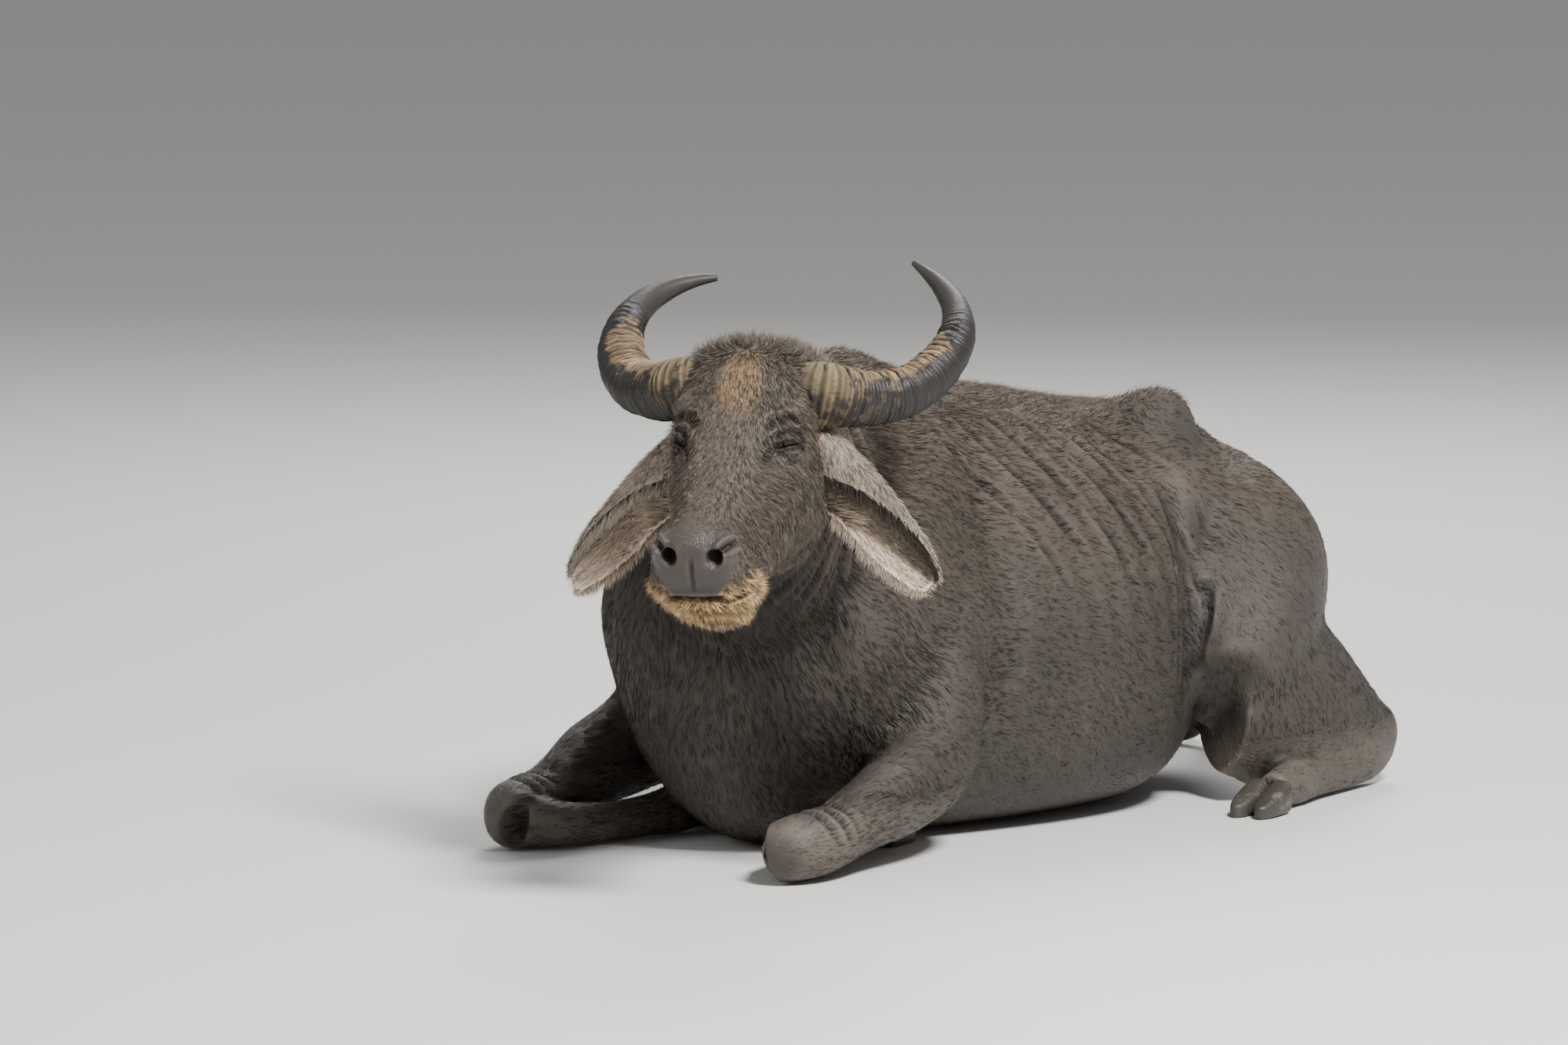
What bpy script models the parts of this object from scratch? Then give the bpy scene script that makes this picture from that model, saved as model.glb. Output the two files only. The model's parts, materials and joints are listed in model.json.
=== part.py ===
"""A life-size water buffalo lying on its chest, head raised and turned to its left, eyes half shut.

Metres, +Z up, floor at z = 0. The animal faces -Y and its left side is +X. The origin lies on the
flat under its belly. The flesh is modelled whole, merged and sculpted, then parted by thin cuts.
"""

import math
from collections import namedtuple

import bmesh
import bpy
import numpy as np
from mathutils import Matrix, Vector

# Driving sizes of an adult cow.
CROWN = Vector((0.254, -0.710, 0.890))  # top of the poll, where the head's own frame starts
HEAD_TURN = math.radians(22.5)  # to the animal's left of its body
HEAD_SLOPE = math.radians(38.0)  # the face's fall below level
EYE_RADIUS = 0.021
LID_PLACE = Vector((0.186, 0.086, -0.058))  # down the face, out to the side, up from the face
LID_FACING = Vector((0.24, 0.70, 0.67)).normalized()
SLIT_RUN = Vector((-0.66, 0.67, -0.34)).normalized()
SLIT_HALF = Vector((0.028, 0.0026, 0.016))  # half length, half opening, half depth
GAP = 0.0003
VOXEL = 0.006
DRAPE = 90  # rounds of smoothing that stretch the hide over the joints of the trunk
HEAD_TRIANGLES = 3500
BODY_TRIANGLES = 3850
RING_POINTS = 44

SKIN = dict(colour=(0.085, 0.075, 0.068), roughness=0.55)
HORN_FINISH = dict(colour=(0.075, 0.070, 0.062), roughness=0.42)
EYE = dict(colour=(0.02, 0.014, 0.01), roughness=0.08)
HOOF = dict(colour=(0.045, 0.040, 0.035), roughness=0.5)
EAR_HIDE = dict(colour=(0.23, 0.19, 0.155), roughness=0.75)

# A closed cross-section: where it lies along the part, its widest level, half width there, and how
# far it rises and drops. round_top and round_base under 1 make it boxy, over 1 make it pointed.
Section = namedtuple("Section", "at level half_width top base round_top round_base")
# A stretch of limb: middle of the section, half width across and half depth.
Knot = namedtuple("Knot", "x y z across deep")

TORSO = (
    Section(-0.590, 0.37, 0.070, 0.46, 0.26, 1.0, 1.0),
    Section(-0.555, 0.36, 0.145, 0.53, 0.15, 1.0, 1.05),
    Section(-0.485, 0.35, 0.225, 0.63, 0.055, 1.0, 1.15),
    Section(-0.395, 0.35, 0.285, 0.715, 0.005, 1.05, 1.10),
    Section(-0.270, 0.34, 0.310, 0.780, -0.006, 1.2, 0.90),
    Section(-0.150, 0.33, 0.322, 0.812, -0.006, 1.3, 0.75),
    Section(-0.020, 0.32, 0.345, 0.780, -0.006, 1.15, 0.62),
    Section(0.130, 0.31, 0.378, 0.742, -0.006, 1.02, 0.58),
    Section(0.280, 0.31, 0.388, 0.718, -0.006, 1.0, 0.58),
    Section(0.400, 0.32, 0.365, 0.694, -0.006, 0.90, 0.62),
    Section(0.500, 0.34, 0.325, 0.678, -0.002, 0.72, 0.75),
    Section(0.620, 0.35, 0.278, 0.664, 0.020, 0.72, 0.9),
    Section(0.740, 0.37, 0.226, 0.640, 0.070, 0.76, 1.0),
    Section(0.850, 0.39, 0.168, 0.604, 0.150, 0.85, 1.0),
    Section(0.925, 0.41, 0.085, 0.540, 0.260, 1.0, 1.0),
)

# The head's sections run down the face. Levels are up from the line of the face.
HEAD = (
    Section(-0.050, -0.115, 0.050, -0.072, -0.165, 1.0, 1.0),
    Section(-0.030, -0.110, 0.096, -0.032, -0.215, 0.9, 0.9),
    Section(0.005, -0.105, 0.118, 0.000, -0.242, 0.8, 0.9),
    Section(0.055, -0.105, 0.122, 0.014, -0.264, 0.72, 0.85),
    Section(0.105, -0.130, 0.121, 0.014, -0.284, 0.70, 0.78),
    Section(0.160, -0.170, 0.123, 0.006, -0.294, 0.76, 0.70),
    Section(0.215, -0.175, 0.118, 0.000, -0.284, 0.82, 0.70),
    Section(0.270, -0.160, 0.102, -0.003, -0.256, 0.85, 0.74),
    Section(0.325, -0.140, 0.087, -0.003, -0.228, 0.85, 0.78),
    Section(0.375, -0.120, 0.075, 0.003, -0.202, 0.85, 0.85),
    Section(0.420, -0.098, 0.074, 0.012, -0.184, 0.85, 0.85),
    Section(0.455, -0.088, 0.078, 0.019, -0.172, 0.80, 0.85),
    Section(0.482, -0.084, 0.075, 0.011, -0.162, 0.78, 0.85),
    Section(0.500, -0.082, 0.062, -0.012, -0.148, 0.85, 0.9),
    Section(0.510, -0.084, 0.040, -0.040, -0.126, 1.0, 1.0),
)

NECK = (
    Knot(-0.010, -0.200, 0.480, 0.235, 0.300),
    Knot(0.025, -0.330, 0.520, 0.208, 0.275),
    Knot(0.085, -0.450, 0.570, 0.178, 0.250),
    Knot(0.145, -0.550, 0.630, 0.150, 0.222),
    Knot(0.195, -0.630, 0.695, 0.130, 0.185),
    Knot(0.232, -0.690, 0.742, 0.108, 0.132),
)

FORELEG = (
    Knot(0.190, -0.170, 0.360, 0.090, 0.120),
    Knot(0.240, -0.200, 0.270, 0.090, 0.118),
    Knot(0.280, -0.255, 0.180, 0.082, 0.108),
    Knot(0.302, -0.365, 0.125, 0.068, 0.082),
    Knot(0.306, -0.500, 0.088, 0.055, 0.060),
    Knot(0.304, -0.600, 0.064, 0.057, 0.058),
    Knot(0.290, -0.655, 0.056, 0.052, 0.056),
    Knot(0.262, -0.665, 0.050, 0.046, 0.052),
)
FORE_CANNON = (
    Knot(0.275, -0.640, 0.050, 0.048, 0.052),
    Knot(0.235, -0.600, 0.042, 0.038, 0.042),
    Knot(0.205, -0.500, 0.036, 0.032, 0.038),
    Knot(0.190, -0.405, 0.038, 0.034, 0.040),
    Knot(0.184, -0.365, 0.040, 0.041, 0.044),
    Knot(0.176, -0.315, 0.038, 0.036, 0.038),
    Knot(0.171, -0.275, 0.036, 0.034, 0.032),
)
THIGH = (
    Knot(0.085, 0.655, 0.480, 0.120, 0.140),
    Knot(0.168, 0.650, 0.455, 0.176, 0.156),
    Knot(0.243, 0.628, 0.402, 0.197, 0.172),
    Knot(0.310, 0.566, 0.330, 0.180, 0.160),
    Knot(0.370, 0.494, 0.240, 0.132, 0.134),
    Knot(0.402, 0.446, 0.196, 0.080, 0.104),
)
SHANK = (
    Knot(0.365, 0.470, 0.190, 0.084, 0.140),
    Knot(0.392, 0.545, 0.186, 0.088, 0.164),
    Knot(0.412, 0.640, 0.162, 0.078, 0.148),
    Knot(0.428, 0.730, 0.124, 0.058, 0.110),
    Knot(0.440, 0.805, 0.092, 0.045, 0.074),
    Knot(0.444, 0.856, 0.083, 0.036, 0.054),
    Knot(0.446, 0.884, 0.079, 0.019, 0.028),
)
HIND_CANNON = (
    Knot(0.444, 0.855, 0.074, 0.032, 0.046),
    Knot(0.450, 0.795, 0.058, 0.040, 0.054),
    Knot(0.460, 0.700, 0.042, 0.033, 0.042),
    Knot(0.470, 0.600, 0.038, 0.031, 0.038),
    Knot(0.478, 0.530, 0.040, 0.038, 0.044),
    Knot(0.485, 0.480, 0.038, 0.035, 0.038),
    Knot(0.490, 0.440, 0.036, 0.033, 0.032),
)
PELVIS = (
    Knot(-0.222, 0.520, 0.622, 0.048, 0.040),
    Knot(-0.150, 0.520, 0.630, 0.070, 0.038),
    Knot(0.000, 0.540, 0.635, 0.085, 0.032),
    Knot(0.150, 0.505, 0.650, 0.070, 0.038),
    Knot(0.234, 0.510, 0.662, 0.048, 0.042),
)
TAIL = (
    Knot(0.000, 0.840, 0.560, 0.045, 0.055),
    Knot(0.000, 0.905, 0.545, 0.034, 0.040),
    Knot(0.002, 0.950, 0.480, 0.026, 0.030),
    Knot(0.004, 0.972, 0.380, 0.022, 0.024),
    Knot(0.002, 0.985, 0.260, 0.020, 0.021),
    Knot(-0.006, 0.998, 0.140, 0.019, 0.019),
    Knot(-0.030, 1.004, 0.050, 0.018, 0.018),
    Knot(-0.080, 1.000, 0.018, 0.018, 0.018),
    Knot(-0.150, 0.985, 0.018, 0.017, 0.017),
)
# The core of the switch of long hair that the tail ends in, laid on the floor.
SWITCH = (
    Knot(-0.128, 0.992, 0.020, 0.017, 0.017),
    Knot(-0.170, 0.979, 0.022, 0.020, 0.020),
    Knot(-0.225, 0.958, 0.022, 0.019, 0.019),
    Knot(-0.280, 0.932, 0.018, 0.013, 0.014),
    Knot(-0.320, 0.910, 0.014, 0.006, 0.007),
)
SWITCH_SPLIT = -0.138  # where across the tail the switch begins

# Long hair is built as flat tapered locks: how many, their length and width, and their seed.
Locks = namedtuple("Locks", "count length width")
SWITCH_LOCKS = Locks(6, 0.125, 0.032)
HOOD_LOCKS = Locks(7, 0.036, 0.037)  # along the ear's upper rim, hanging over the cup
RIM_LOCKS = Locks(2, 0.012, 0.028)  # along the ear's lower rim towards its tip
TUFT_LOCKS = Locks(2, 0.050, 0.030)  # in front of the cup, at the ear's root
LOCK_THICK = 0.0022
LOCK_SUNK = 0.006
LOCK_LAYER = 0.0024  # how far neighbouring locks lie over one another
LOCK_SEED = 7

# A horn's midline from its root in the poll: out to the side, back and up from the crown, in the
# animal's level frame turned with the head. Its half height and half thickness follow.
HORN_LEFT = (
    Knot(0.070, 0.000, -0.074, 0.052, 0.044),
    Knot(0.122, 0.006, -0.084, 0.053, 0.047),
    Knot(0.178, 0.050, -0.094, 0.044, 0.042),
    Knot(0.232, 0.102, -0.086, 0.041, 0.038),
    Knot(0.270, 0.165, -0.052, 0.036, 0.034),
    Knot(0.281, 0.235, -0.012, 0.030, 0.029),
    Knot(0.264, 0.300, 0.024, 0.0235, 0.023),
    Knot(0.233, 0.345, 0.052, 0.017, 0.017),
    Knot(0.202, 0.373, 0.073, 0.011, 0.011),
    Knot(0.171, 0.390, 0.092, 0.005, 0.005),
)
HORN_RIGHT = (
    Knot(0.070, 0.000, -0.074, 0.052, 0.044),
    Knot(0.120, 0.006, -0.082, 0.053, 0.047),
    Knot(0.176, 0.050, -0.092, 0.046, 0.042),
    Knot(0.230, 0.102, -0.084, 0.043, 0.038),
    Knot(0.266, 0.165, -0.050, 0.038, 0.034),
    Knot(0.276, 0.235, -0.008, 0.031, 0.029),
    Knot(0.262, 0.300, 0.024, 0.025, 0.023),
    Knot(0.232, 0.345, 0.044, 0.018, 0.017),
    Knot(0.198, 0.373, 0.055, 0.012, 0.011),
    Knot(0.164, 0.390, 0.060, 0.006, 0.006),
)
HORN_RIDGES = 14  # growth ridges over the lower two thirds, two stations to each
HORN_RIDGE = 0.0022
HORN_STATIONS = 41
HORN_SIDES = 12

# An ear from root to tip, in the same level frame: where its top and low edges run, how deep its cup
# goes back, how far the top rim hoods over the opening and how far the hair hangs from the rim.
EarRow = namedtuple("EarRow", "top_out top_up low_out low_up cup hood")
EAR = (
    EarRow(0.100, -0.135, 0.098, -0.262, 0.040, 0.026),
    EarRow(0.137, -0.160, 0.133, -0.284, 0.048, 0.030),
    EarRow(0.178, -0.197, 0.160, -0.306, 0.050, 0.031),
    EarRow(0.222, -0.246, 0.190, -0.340, 0.045, 0.026),
    EarRow(0.258, -0.290, 0.224, -0.369, 0.036, 0.017),
    EarRow(0.284, -0.328, 0.250, -0.387, 0.026, 0.010),
    EarRow(0.298, -0.358, 0.270, -0.398, 0.016, 0.005),
    EarRow(0.300, -0.380, 0.286, -0.400, 0.008, 0.001),
)
EAR_THICK = 0.006
EAR_STRIPS = 8
EAR_STATIONS = 11

# Claws of each foot: middle of the two, its heading on the floor.
Foot = namedtuple("Foot", "name x y heading")
FEET = (
    Foot("front_left", 0.167, -0.235, math.radians(186.0)),
    Foot("front_right", -0.167, -0.235, math.radians(174.0)),
    Foot("rear_left", 0.495, 0.402, math.radians(7.0)),
    Foot("rear_right", -0.468, 0.392, math.radians(-7.0)),
)
CLAW_LENGTH = 0.088
CLAW_HEIGHT = 0.058
CLAW_HALF_WIDTH = 0.0215


def clear_scene():
    """Empties the scene before the model is made."""
    for obj in list(bpy.data.objects):
        bpy.data.objects.remove(obj)


def collection(name, hidden=False):
    """A new collection linked to the scene."""
    made = bpy.data.collections.new(name)
    bpy.context.scene.collection.children.link(made)
    made.hide_render = hidden
    return made


def material(name, colour, roughness):
    """A plain Principled material."""
    made = bpy.data.materials.new(name)
    made.use_nodes = True
    shader = made.node_tree.nodes["Principled BSDF"]
    shader.inputs["Base Color"].default_value = (*colour, 1.0)
    shader.inputs["Roughness"].default_value = roughness
    shader.inputs["Metallic"].default_value = 0.0
    made.diffuse_color = (*colour, 1.0)
    return made


def head_frame():
    """The head's frame: x down the face, y to the animal's left, z up from the face."""
    sin_t, cos_t = math.sin(HEAD_TURN), math.cos(HEAD_TURN)
    sin_s, cos_s = math.sin(HEAD_SLOPE), math.cos(HEAD_SLOPE)
    down_face = Vector((sin_t * cos_s, -cos_t * cos_s, -sin_s))
    left = Vector((cos_t, sin_t, 0.0))
    up_face = Vector((sin_t * sin_s, -cos_t * sin_s, cos_s))
    turn = Matrix((down_face, left, up_face)).transposed().to_4x4()
    return Matrix.Translation(CROWN) @ turn


def level_frame():
    """The crown's frame turned with the head but kept level: x left, y back, z up."""
    return Matrix.Translation(CROWN) @ Matrix.Rotation(HEAD_TURN, 4, "Z")


def finish_shape(shape, name, group):
    """Turns a bmesh into an object of triangles that all point outwards."""
    bmesh.ops.triangulate(shape, faces=shape.faces)
    shape.normal_update()
    bmesh.ops.recalc_face_normals(shape, faces=shape.faces)
    if shape.calc_volume(signed=True) < 0:
        bmesh.ops.reverse_faces(shape, faces=shape.faces)
    mesh = bpy.data.meshes.new(name)
    shape.to_mesh(mesh)
    shape.free()
    made = bpy.data.objects.new(name, mesh)
    group.objects.link(made)
    return made


def new_object(name, verts, faces, group):
    """A mesh object from points and faces."""
    shape = bmesh.new()
    points = [shape.verts.new(v) for v in verts]
    for face in faces:
        shape.faces.new([points[i] for i in face])
    return finish_shape(shape, name, group)


def smoothed(rows, steps):
    """Rows of numbers with a Catmull-Rom curve run through them, steps to each gap."""
    rows = np.array(rows, float)
    padded = np.vstack([2 * rows[0] - rows[1], rows, 2 * rows[-1] - rows[-2]])
    found = []
    for i in range(1, len(rows)):
        before, start, end, after = padded[i - 1 : i + 3]
        for t in np.arange(steps) / steps:
            pull = (end - before) * t
            bend = (2 * before - 5 * start + 4 * end - after) * t * t
            last = (3 * start - before - 3 * end + after) * t**3
            found.append(start + 0.5 * (pull + bend + last))
    found.append(rows[-1])
    return np.array(found)


def loft(name, rings, group):
    """A closed skin over a row of rings with equal counts, each end drawn to its middle."""
    count = len(rings[0])
    verts = [p for ring in rings for p in ring]
    faces = []
    for k in range(len(rings) - 1):
        for i in range(count):
            j = (i + 1) % count
            faces.append((k * count + i, k * count + j, (k + 1) * count + j, (k + 1) * count + i))
    for start in (0, len(rings) - 1):
        verts.append(sum((Vector(p) for p in rings[start]), Vector()) / count)
        for i in range(count):
            faces.append((start * count + i, start * count + (i + 1) % count, len(verts) - 1))
    return new_object(name, verts, faces, group)


def section_ring(row, place):
    """The points round one cross-section. place turns (at, aside, level) into a point."""
    at, level, half_width, top, base, round_top, round_base = row
    points = []
    for i in range(RING_POINTS):
        turn = 2 * math.pi * i / RING_POINTS
        c, s = math.cos(turn), math.sin(turn)
        power = round_top if s >= 0 else round_base
        aside = math.copysign(abs(c) ** power, c) * half_width
        reach = (top - level) if s >= 0 else (level - base)
        points.append(place(at, aside, level + math.copysign(abs(s) ** power, s) * reach))
    return points


def limb(name, knots, group, steps=5, flip=1.0):
    """A closed round form along its knots, each section square to the way it runs."""
    rows = smoothed(knots, steps)
    rows[:, 0] *= flip
    middles = [Vector(r[:3]) for r in rows]
    rings = []
    for k, row in enumerate(rows):
        ahead = (middles[min(k + 1, len(rows) - 1)] - middles[max(k - 1, 0)]).normalized()
        across = ahead.cross(Vector((0, 0, 1)))
        if across.length < 0.35:
            across = Vector((1, 0, 0)) - ahead * ahead.x
        across.normalize()
        deep = across.cross(ahead).normalized()
        turns = [2 * math.pi * i / RING_POINTS for i in range(RING_POINTS)]
        sides = [(math.cos(t) * row[3], math.sin(t) * row[4]) for t in turns]
        rings.append([middles[k] + across * a + deep * b for a, b in sides])
    return loft(name, rings, group)


def evaluated_copy(obj, name, group):
    """A new mesh object with obj's modifiers applied."""
    graph = bpy.context.evaluated_depsgraph_get()
    graph.update()
    mesh = bpy.data.meshes.new_from_object(obj.evaluated_get(graph))
    mesh.transform(obj.matrix_world)
    made = bpy.data.objects.new(name, mesh)
    group.objects.link(made)
    return made


def settle(obj):
    """Applies obj's modifiers to its own mesh."""
    graph = bpy.context.evaluated_depsgraph_get()
    graph.update()
    mesh = bpy.data.meshes.new_from_object(obj.evaluated_get(graph))
    obj.modifiers.clear()
    obj.data = mesh
    return obj


def boolean(obj, other, operation, solver="EXACT"):
    """Cuts obj by other, or joins or meets them, and applies it."""
    cut = obj.modifiers.new("Cut", "BOOLEAN")
    cut.operation = operation
    cut.solver = solver
    cut.object = other
    return settle(obj)


def keep_largest(obj):
    """Drops all but the closed surface that takes the most room."""
    shape = bmesh.new()
    shape.from_mesh(obj.data)
    bmesh.ops.triangulate(shape, faces=shape.faces)
    left, best, best_size = set(shape.verts), [], -1.0
    groups = []
    while left:
        stack = [left.pop()]
        group = []
        while stack:
            vert = stack.pop()
            group.append(vert)
            near = [e.other_vert(vert) for e in vert.link_edges]
            fresh = [v for v in near if v in left]
            left.difference_update(fresh)
            stack.extend(fresh)
        faces = {f for v in group for f in v.link_faces}
        size = abs(sum(f.verts[0].co.dot(f.verts[1].co.cross(f.verts[2].co)) for f in faces))
        groups.append(group)
        if size > best_size:
            best, best_size = group, size
    for group in groups:
        if group is not best:
            bmesh.ops.delete(shape, geom=group, context="VERTS")
    shape.to_mesh(obj.data)
    shape.free()
    return obj


def grown(obj, by, name, group):
    """A copy of obj with its surface moved out by a small gap."""
    made = evaluated_copy(obj, name, group)
    mesh = made.data
    moved = [v.co + v.normal * by for v in mesh.vertices]
    for vert, place in zip(mesh.vertices, moved):
        vert.co = place
    made.hide_render = True
    made.display_type = "WIRE"
    return made


class Clay:
    """The points of one mesh, worked with soft brushes in a frame of its own."""

    def __init__(self, obj, frame):
        self.obj = obj
        self.frame = frame
        self.read()

    def read(self):
        """Takes the points and normals into the working frame."""
        mesh = self.obj.data
        count = len(mesh.vertices)
        points = np.empty(count * 3, np.float32)
        mesh.vertices.foreach_get("co", points)
        normals = np.empty(count * 3, np.float32)
        mesh.vertex_normals.foreach_get("vector", normals)
        inverse = np.array(self.frame.inverted())
        self.points = points.reshape(-1, 3) @ inverse[:3, :3].T + inverse[:3, 3]
        self.normals = normals.reshape(-1, 3) @ inverse[:3, :3].T

    def write(self):
        """Puts the points back and takes fresh normals."""
        matrix = np.array(self.frame)
        points = self.points @ matrix[:3, :3].T + matrix[:3, 3]
        self.obj.data.vertices.foreach_set("co", points.astype(np.float32).ravel())
        self.obj.data.update()
        self.read()

    def swell(self, centre, reach, height, both=False, toward=None):
        """Raises a soft mound, or with a height below 0 presses a hollow."""
        sides = (1, -1) if both else (1,)
        for side in sides:
            middle = np.array((centre[0], centre[1] * side, centre[2]))
            apart = (self.points - middle) / np.array(reach)
            weight = np.clip(1 - (apart**2).sum(1), 0, 1) ** 2
            way = self.normals
            if toward is not None:
                way = np.array((toward[0], toward[1] * side, toward[2]))
            self.points = self.points + way * (weight * height)[:, None]
        return self

    def relax(self, centre, reach, rounds):
        """Evens out the hide softly round a place and its mirror image."""
        ends = np.empty(len(self.obj.data.edges) * 2, np.int64)
        self.obj.data.edges.foreach_get("vertices", ends)
        ends = ends.reshape(-1, 2)
        for side in (1, -1):
            apart = (self.points - np.array((centre[0], centre[1] * side, centre[2]))) / np.array(reach)
            weight = np.clip(1 - (apart**2).sum(1), 0, 1)
            near = ends[(weight[ends] > 0).all(1)]
            count = np.bincount(near.ravel(), minlength=len(weight))
            weight[count == 0] = 0
            count = np.maximum(count, 1)
            for _ in range(rounds):
                for axis in range(3):
                    values = self.points[:, axis]
                    total = np.bincount(near[:, 0], values[near[:, 1]], len(weight))
                    total += np.bincount(near[:, 1], values[near[:, 0]], len(weight))
                    self.points[:, axis] = values + weight * 0.7 * (total / count - values)
        return self

    def on_surface(self, line):
        """The points of the mesh nearest to each point of a line."""
        return np.array([self.points[((self.points - p) ** 2).sum(1).argmin()] for p in line])

    def groove(self, path, width, depth, both=False, rim=0.0):
        """Presses a soft line along the skin below a path, with an optional raised rim."""
        sides = (1, -1) if both else (1,)
        for side in sides:
            line = self.on_surface(smoothed(path, 5) * np.array((1, side, 1)))
            near = np.full(len(self.points), 1e9)
            along = np.zeros(len(self.points))
            for k in range(len(line) - 1):
                start, run = line[k], line[k + 1] - line[k]
                share = np.clip(((self.points - start) @ run) / max(run @ run, 1e-12), 0, 1)
                apart = np.linalg.norm(self.points - start - share[:, None] * run, axis=1)
                closer = apart < near
                near[closer] = apart[closer]
                along[closer] = (k + share[closer]) / (len(line) - 1)
            ends = np.clip(np.minimum(along, 1 - along) * 5, 0.15, 1)
            shape = -np.exp(-((near / width) ** 2))
            shape = shape + rim * np.exp(-(((near - 1.9 * width) / (0.8 * width)) ** 2))
            self.points = self.points + self.normals * (shape * ends * depth)[:, None]
        return self


def mirrored(rows):
    """The same limb on the animal's right side, drawn in a little closer and lower."""
    return tuple(row._replace(x=-row.x * 0.955, y=row.y - 0.012, z=row.z * 0.985) for row in rows)


def body_forms(group):
    """Every overlapping form of the flesh."""
    frame = head_frame()
    torso = smoothed(TORSO, 4)
    loft("torso_form", [section_ring(r, lambda at, a, z: Vector((a, at, z))) for r in torso], group)
    head = smoothed(HEAD, 4)
    loft("head_form", [section_ring(r, lambda at, a, z: frame @ Vector((at, a, z))) for r in head], group)
    limb("neck_form", NECK, group)
    limb("pelvis_form", PELVIS, group)
    limb("tail_form", TAIL, group)
    limb("switch_form", SWITCH, group)
    for side, flip in (("left", 1.0), ("right", -1.0)):
        limb("foreleg_form_" + side, FORELEG, group, flip=flip)
        limb("fore_cannon_form_" + side, FORE_CANNON, group, flip=flip)
    for name, rows in (("thigh", THIGH), ("shank", SHANK), ("cannon", HIND_CANNON)):
        limb(name + "_form_left", rows, group)
        limb(name + "_form_right", mirrored(rows), group)


def merge(group, name, voxel, target):
    """Joins a collection's closed forms into one skin and softens where they meet."""
    whole = bmesh.new()
    for piece in group.objects:
        whole.from_mesh(piece.data)
    mesh = bpy.data.meshes.new(name)
    whole.to_mesh(mesh)
    whole.free()
    made = bpy.data.objects.new(name, mesh)
    target.objects.link(made)
    remesh = made.modifiers.new("Merge", "REMESH")
    remesh.mode = "VOXEL"
    remesh.voxel_size = voxel
    soften = made.modifiers.new("Soften", "SMOOTH")
    soften.factor = 0.5
    soften.iterations = 9
    settle(made)
    group = made.vertex_groups.new(name="trunk")
    points = np.array([v.co for v in made.data.vertices])
    group.add([int(i) for i in np.flatnonzero(in_trunk(points))], 1.0, "REPLACE")
    drape = made.modifiers.new("Drape", "SMOOTH")
    drape.factor = 0.5
    drape.iterations = DRAPE
    drape.vertex_group = group.name
    settle(made)
    made.vertex_groups.clear()
    return made


def in_head(points):
    """Which points lie in the head, as a mask."""
    local = points @ np.array(head_frame().inverted())[:3, :3].T
    local = local + np.array(head_frame().inverted())[:3, 3]
    return (local[:, 0] > -0.07) & (local[:, 2] > -0.33) & (points[:, 2] > 0.40) & (points[:, 1] < -0.60)


def in_trunk(points):
    """Which points lie on the trunk, neck and upper legs, as a mask."""
    return (points[:, 2] > 0.17) & (points[:, 1] < 0.90) & ~in_head(points)


def refine(obj, chosen):
    """Splits the faces of the chosen region in four, for finer modelling there."""
    shape = bmesh.new()
    shape.from_mesh(obj.data)
    points = np.array([v.co for v in shape.verts])
    mask = chosen(points)
    edges = [e for e in shape.edges if mask[e.verts[0].index] and mask[e.verts[1].index]]
    bmesh.ops.subdivide_edges(shape, edges=edges, cuts=1, use_grid_fill=True)
    bmesh.ops.triangulate(shape, faces=[f for f in shape.faces if len(f.verts) > 4])
    verts = list(shape.verts)
    mask = chosen(np.array([v.co for v in verts]))
    bmesh.ops.smooth_vert(shape, verts=[v for v, inside in zip(verts, mask) if inside],
                          factor=0.5, use_axis_x=True, use_axis_y=True, use_axis_z=True)
    shape.to_mesh(obj.data)
    shape.free()
    return obj


def thin_region(obj, chosen, triangles):
    """Lowers one region's triangle count to about the number asked for and leaves the rest alone."""
    mesh = obj.data
    points = np.empty(len(mesh.vertices) * 3)
    mesh.vertices.foreach_get("co", points)
    mask = chosen(points.reshape(-1, 3))
    count, inside = 0, 0
    for face in mesh.polygons:
        size = len(face.vertices) - 2
        count += size
        if all(mask[v] for v in face.vertices):
            inside += size
    group = obj.vertex_groups.new(name="thin")
    group.add([int(i) for i in np.flatnonzero(mask)], 1.0, "REPLACE")
    shrink = obj.modifiers.new("Thin", "DECIMATE")
    shrink.vertex_group = group.name
    shrink.vertex_group_factor = 1000.0
    shrink.ratio = (count - inside + triangles) / count
    settle(obj)
    obj.vertex_groups.clear()
    return obj


def thin_flesh(obj):
    """Brings the head and the rest of the whole flesh down to their own budgets."""
    thin_region(obj, in_head, HEAD_TRIANGLES)
    thin_region(obj, lambda points: ~in_head(points), BODY_TRIANGLES)
    return obj


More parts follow.
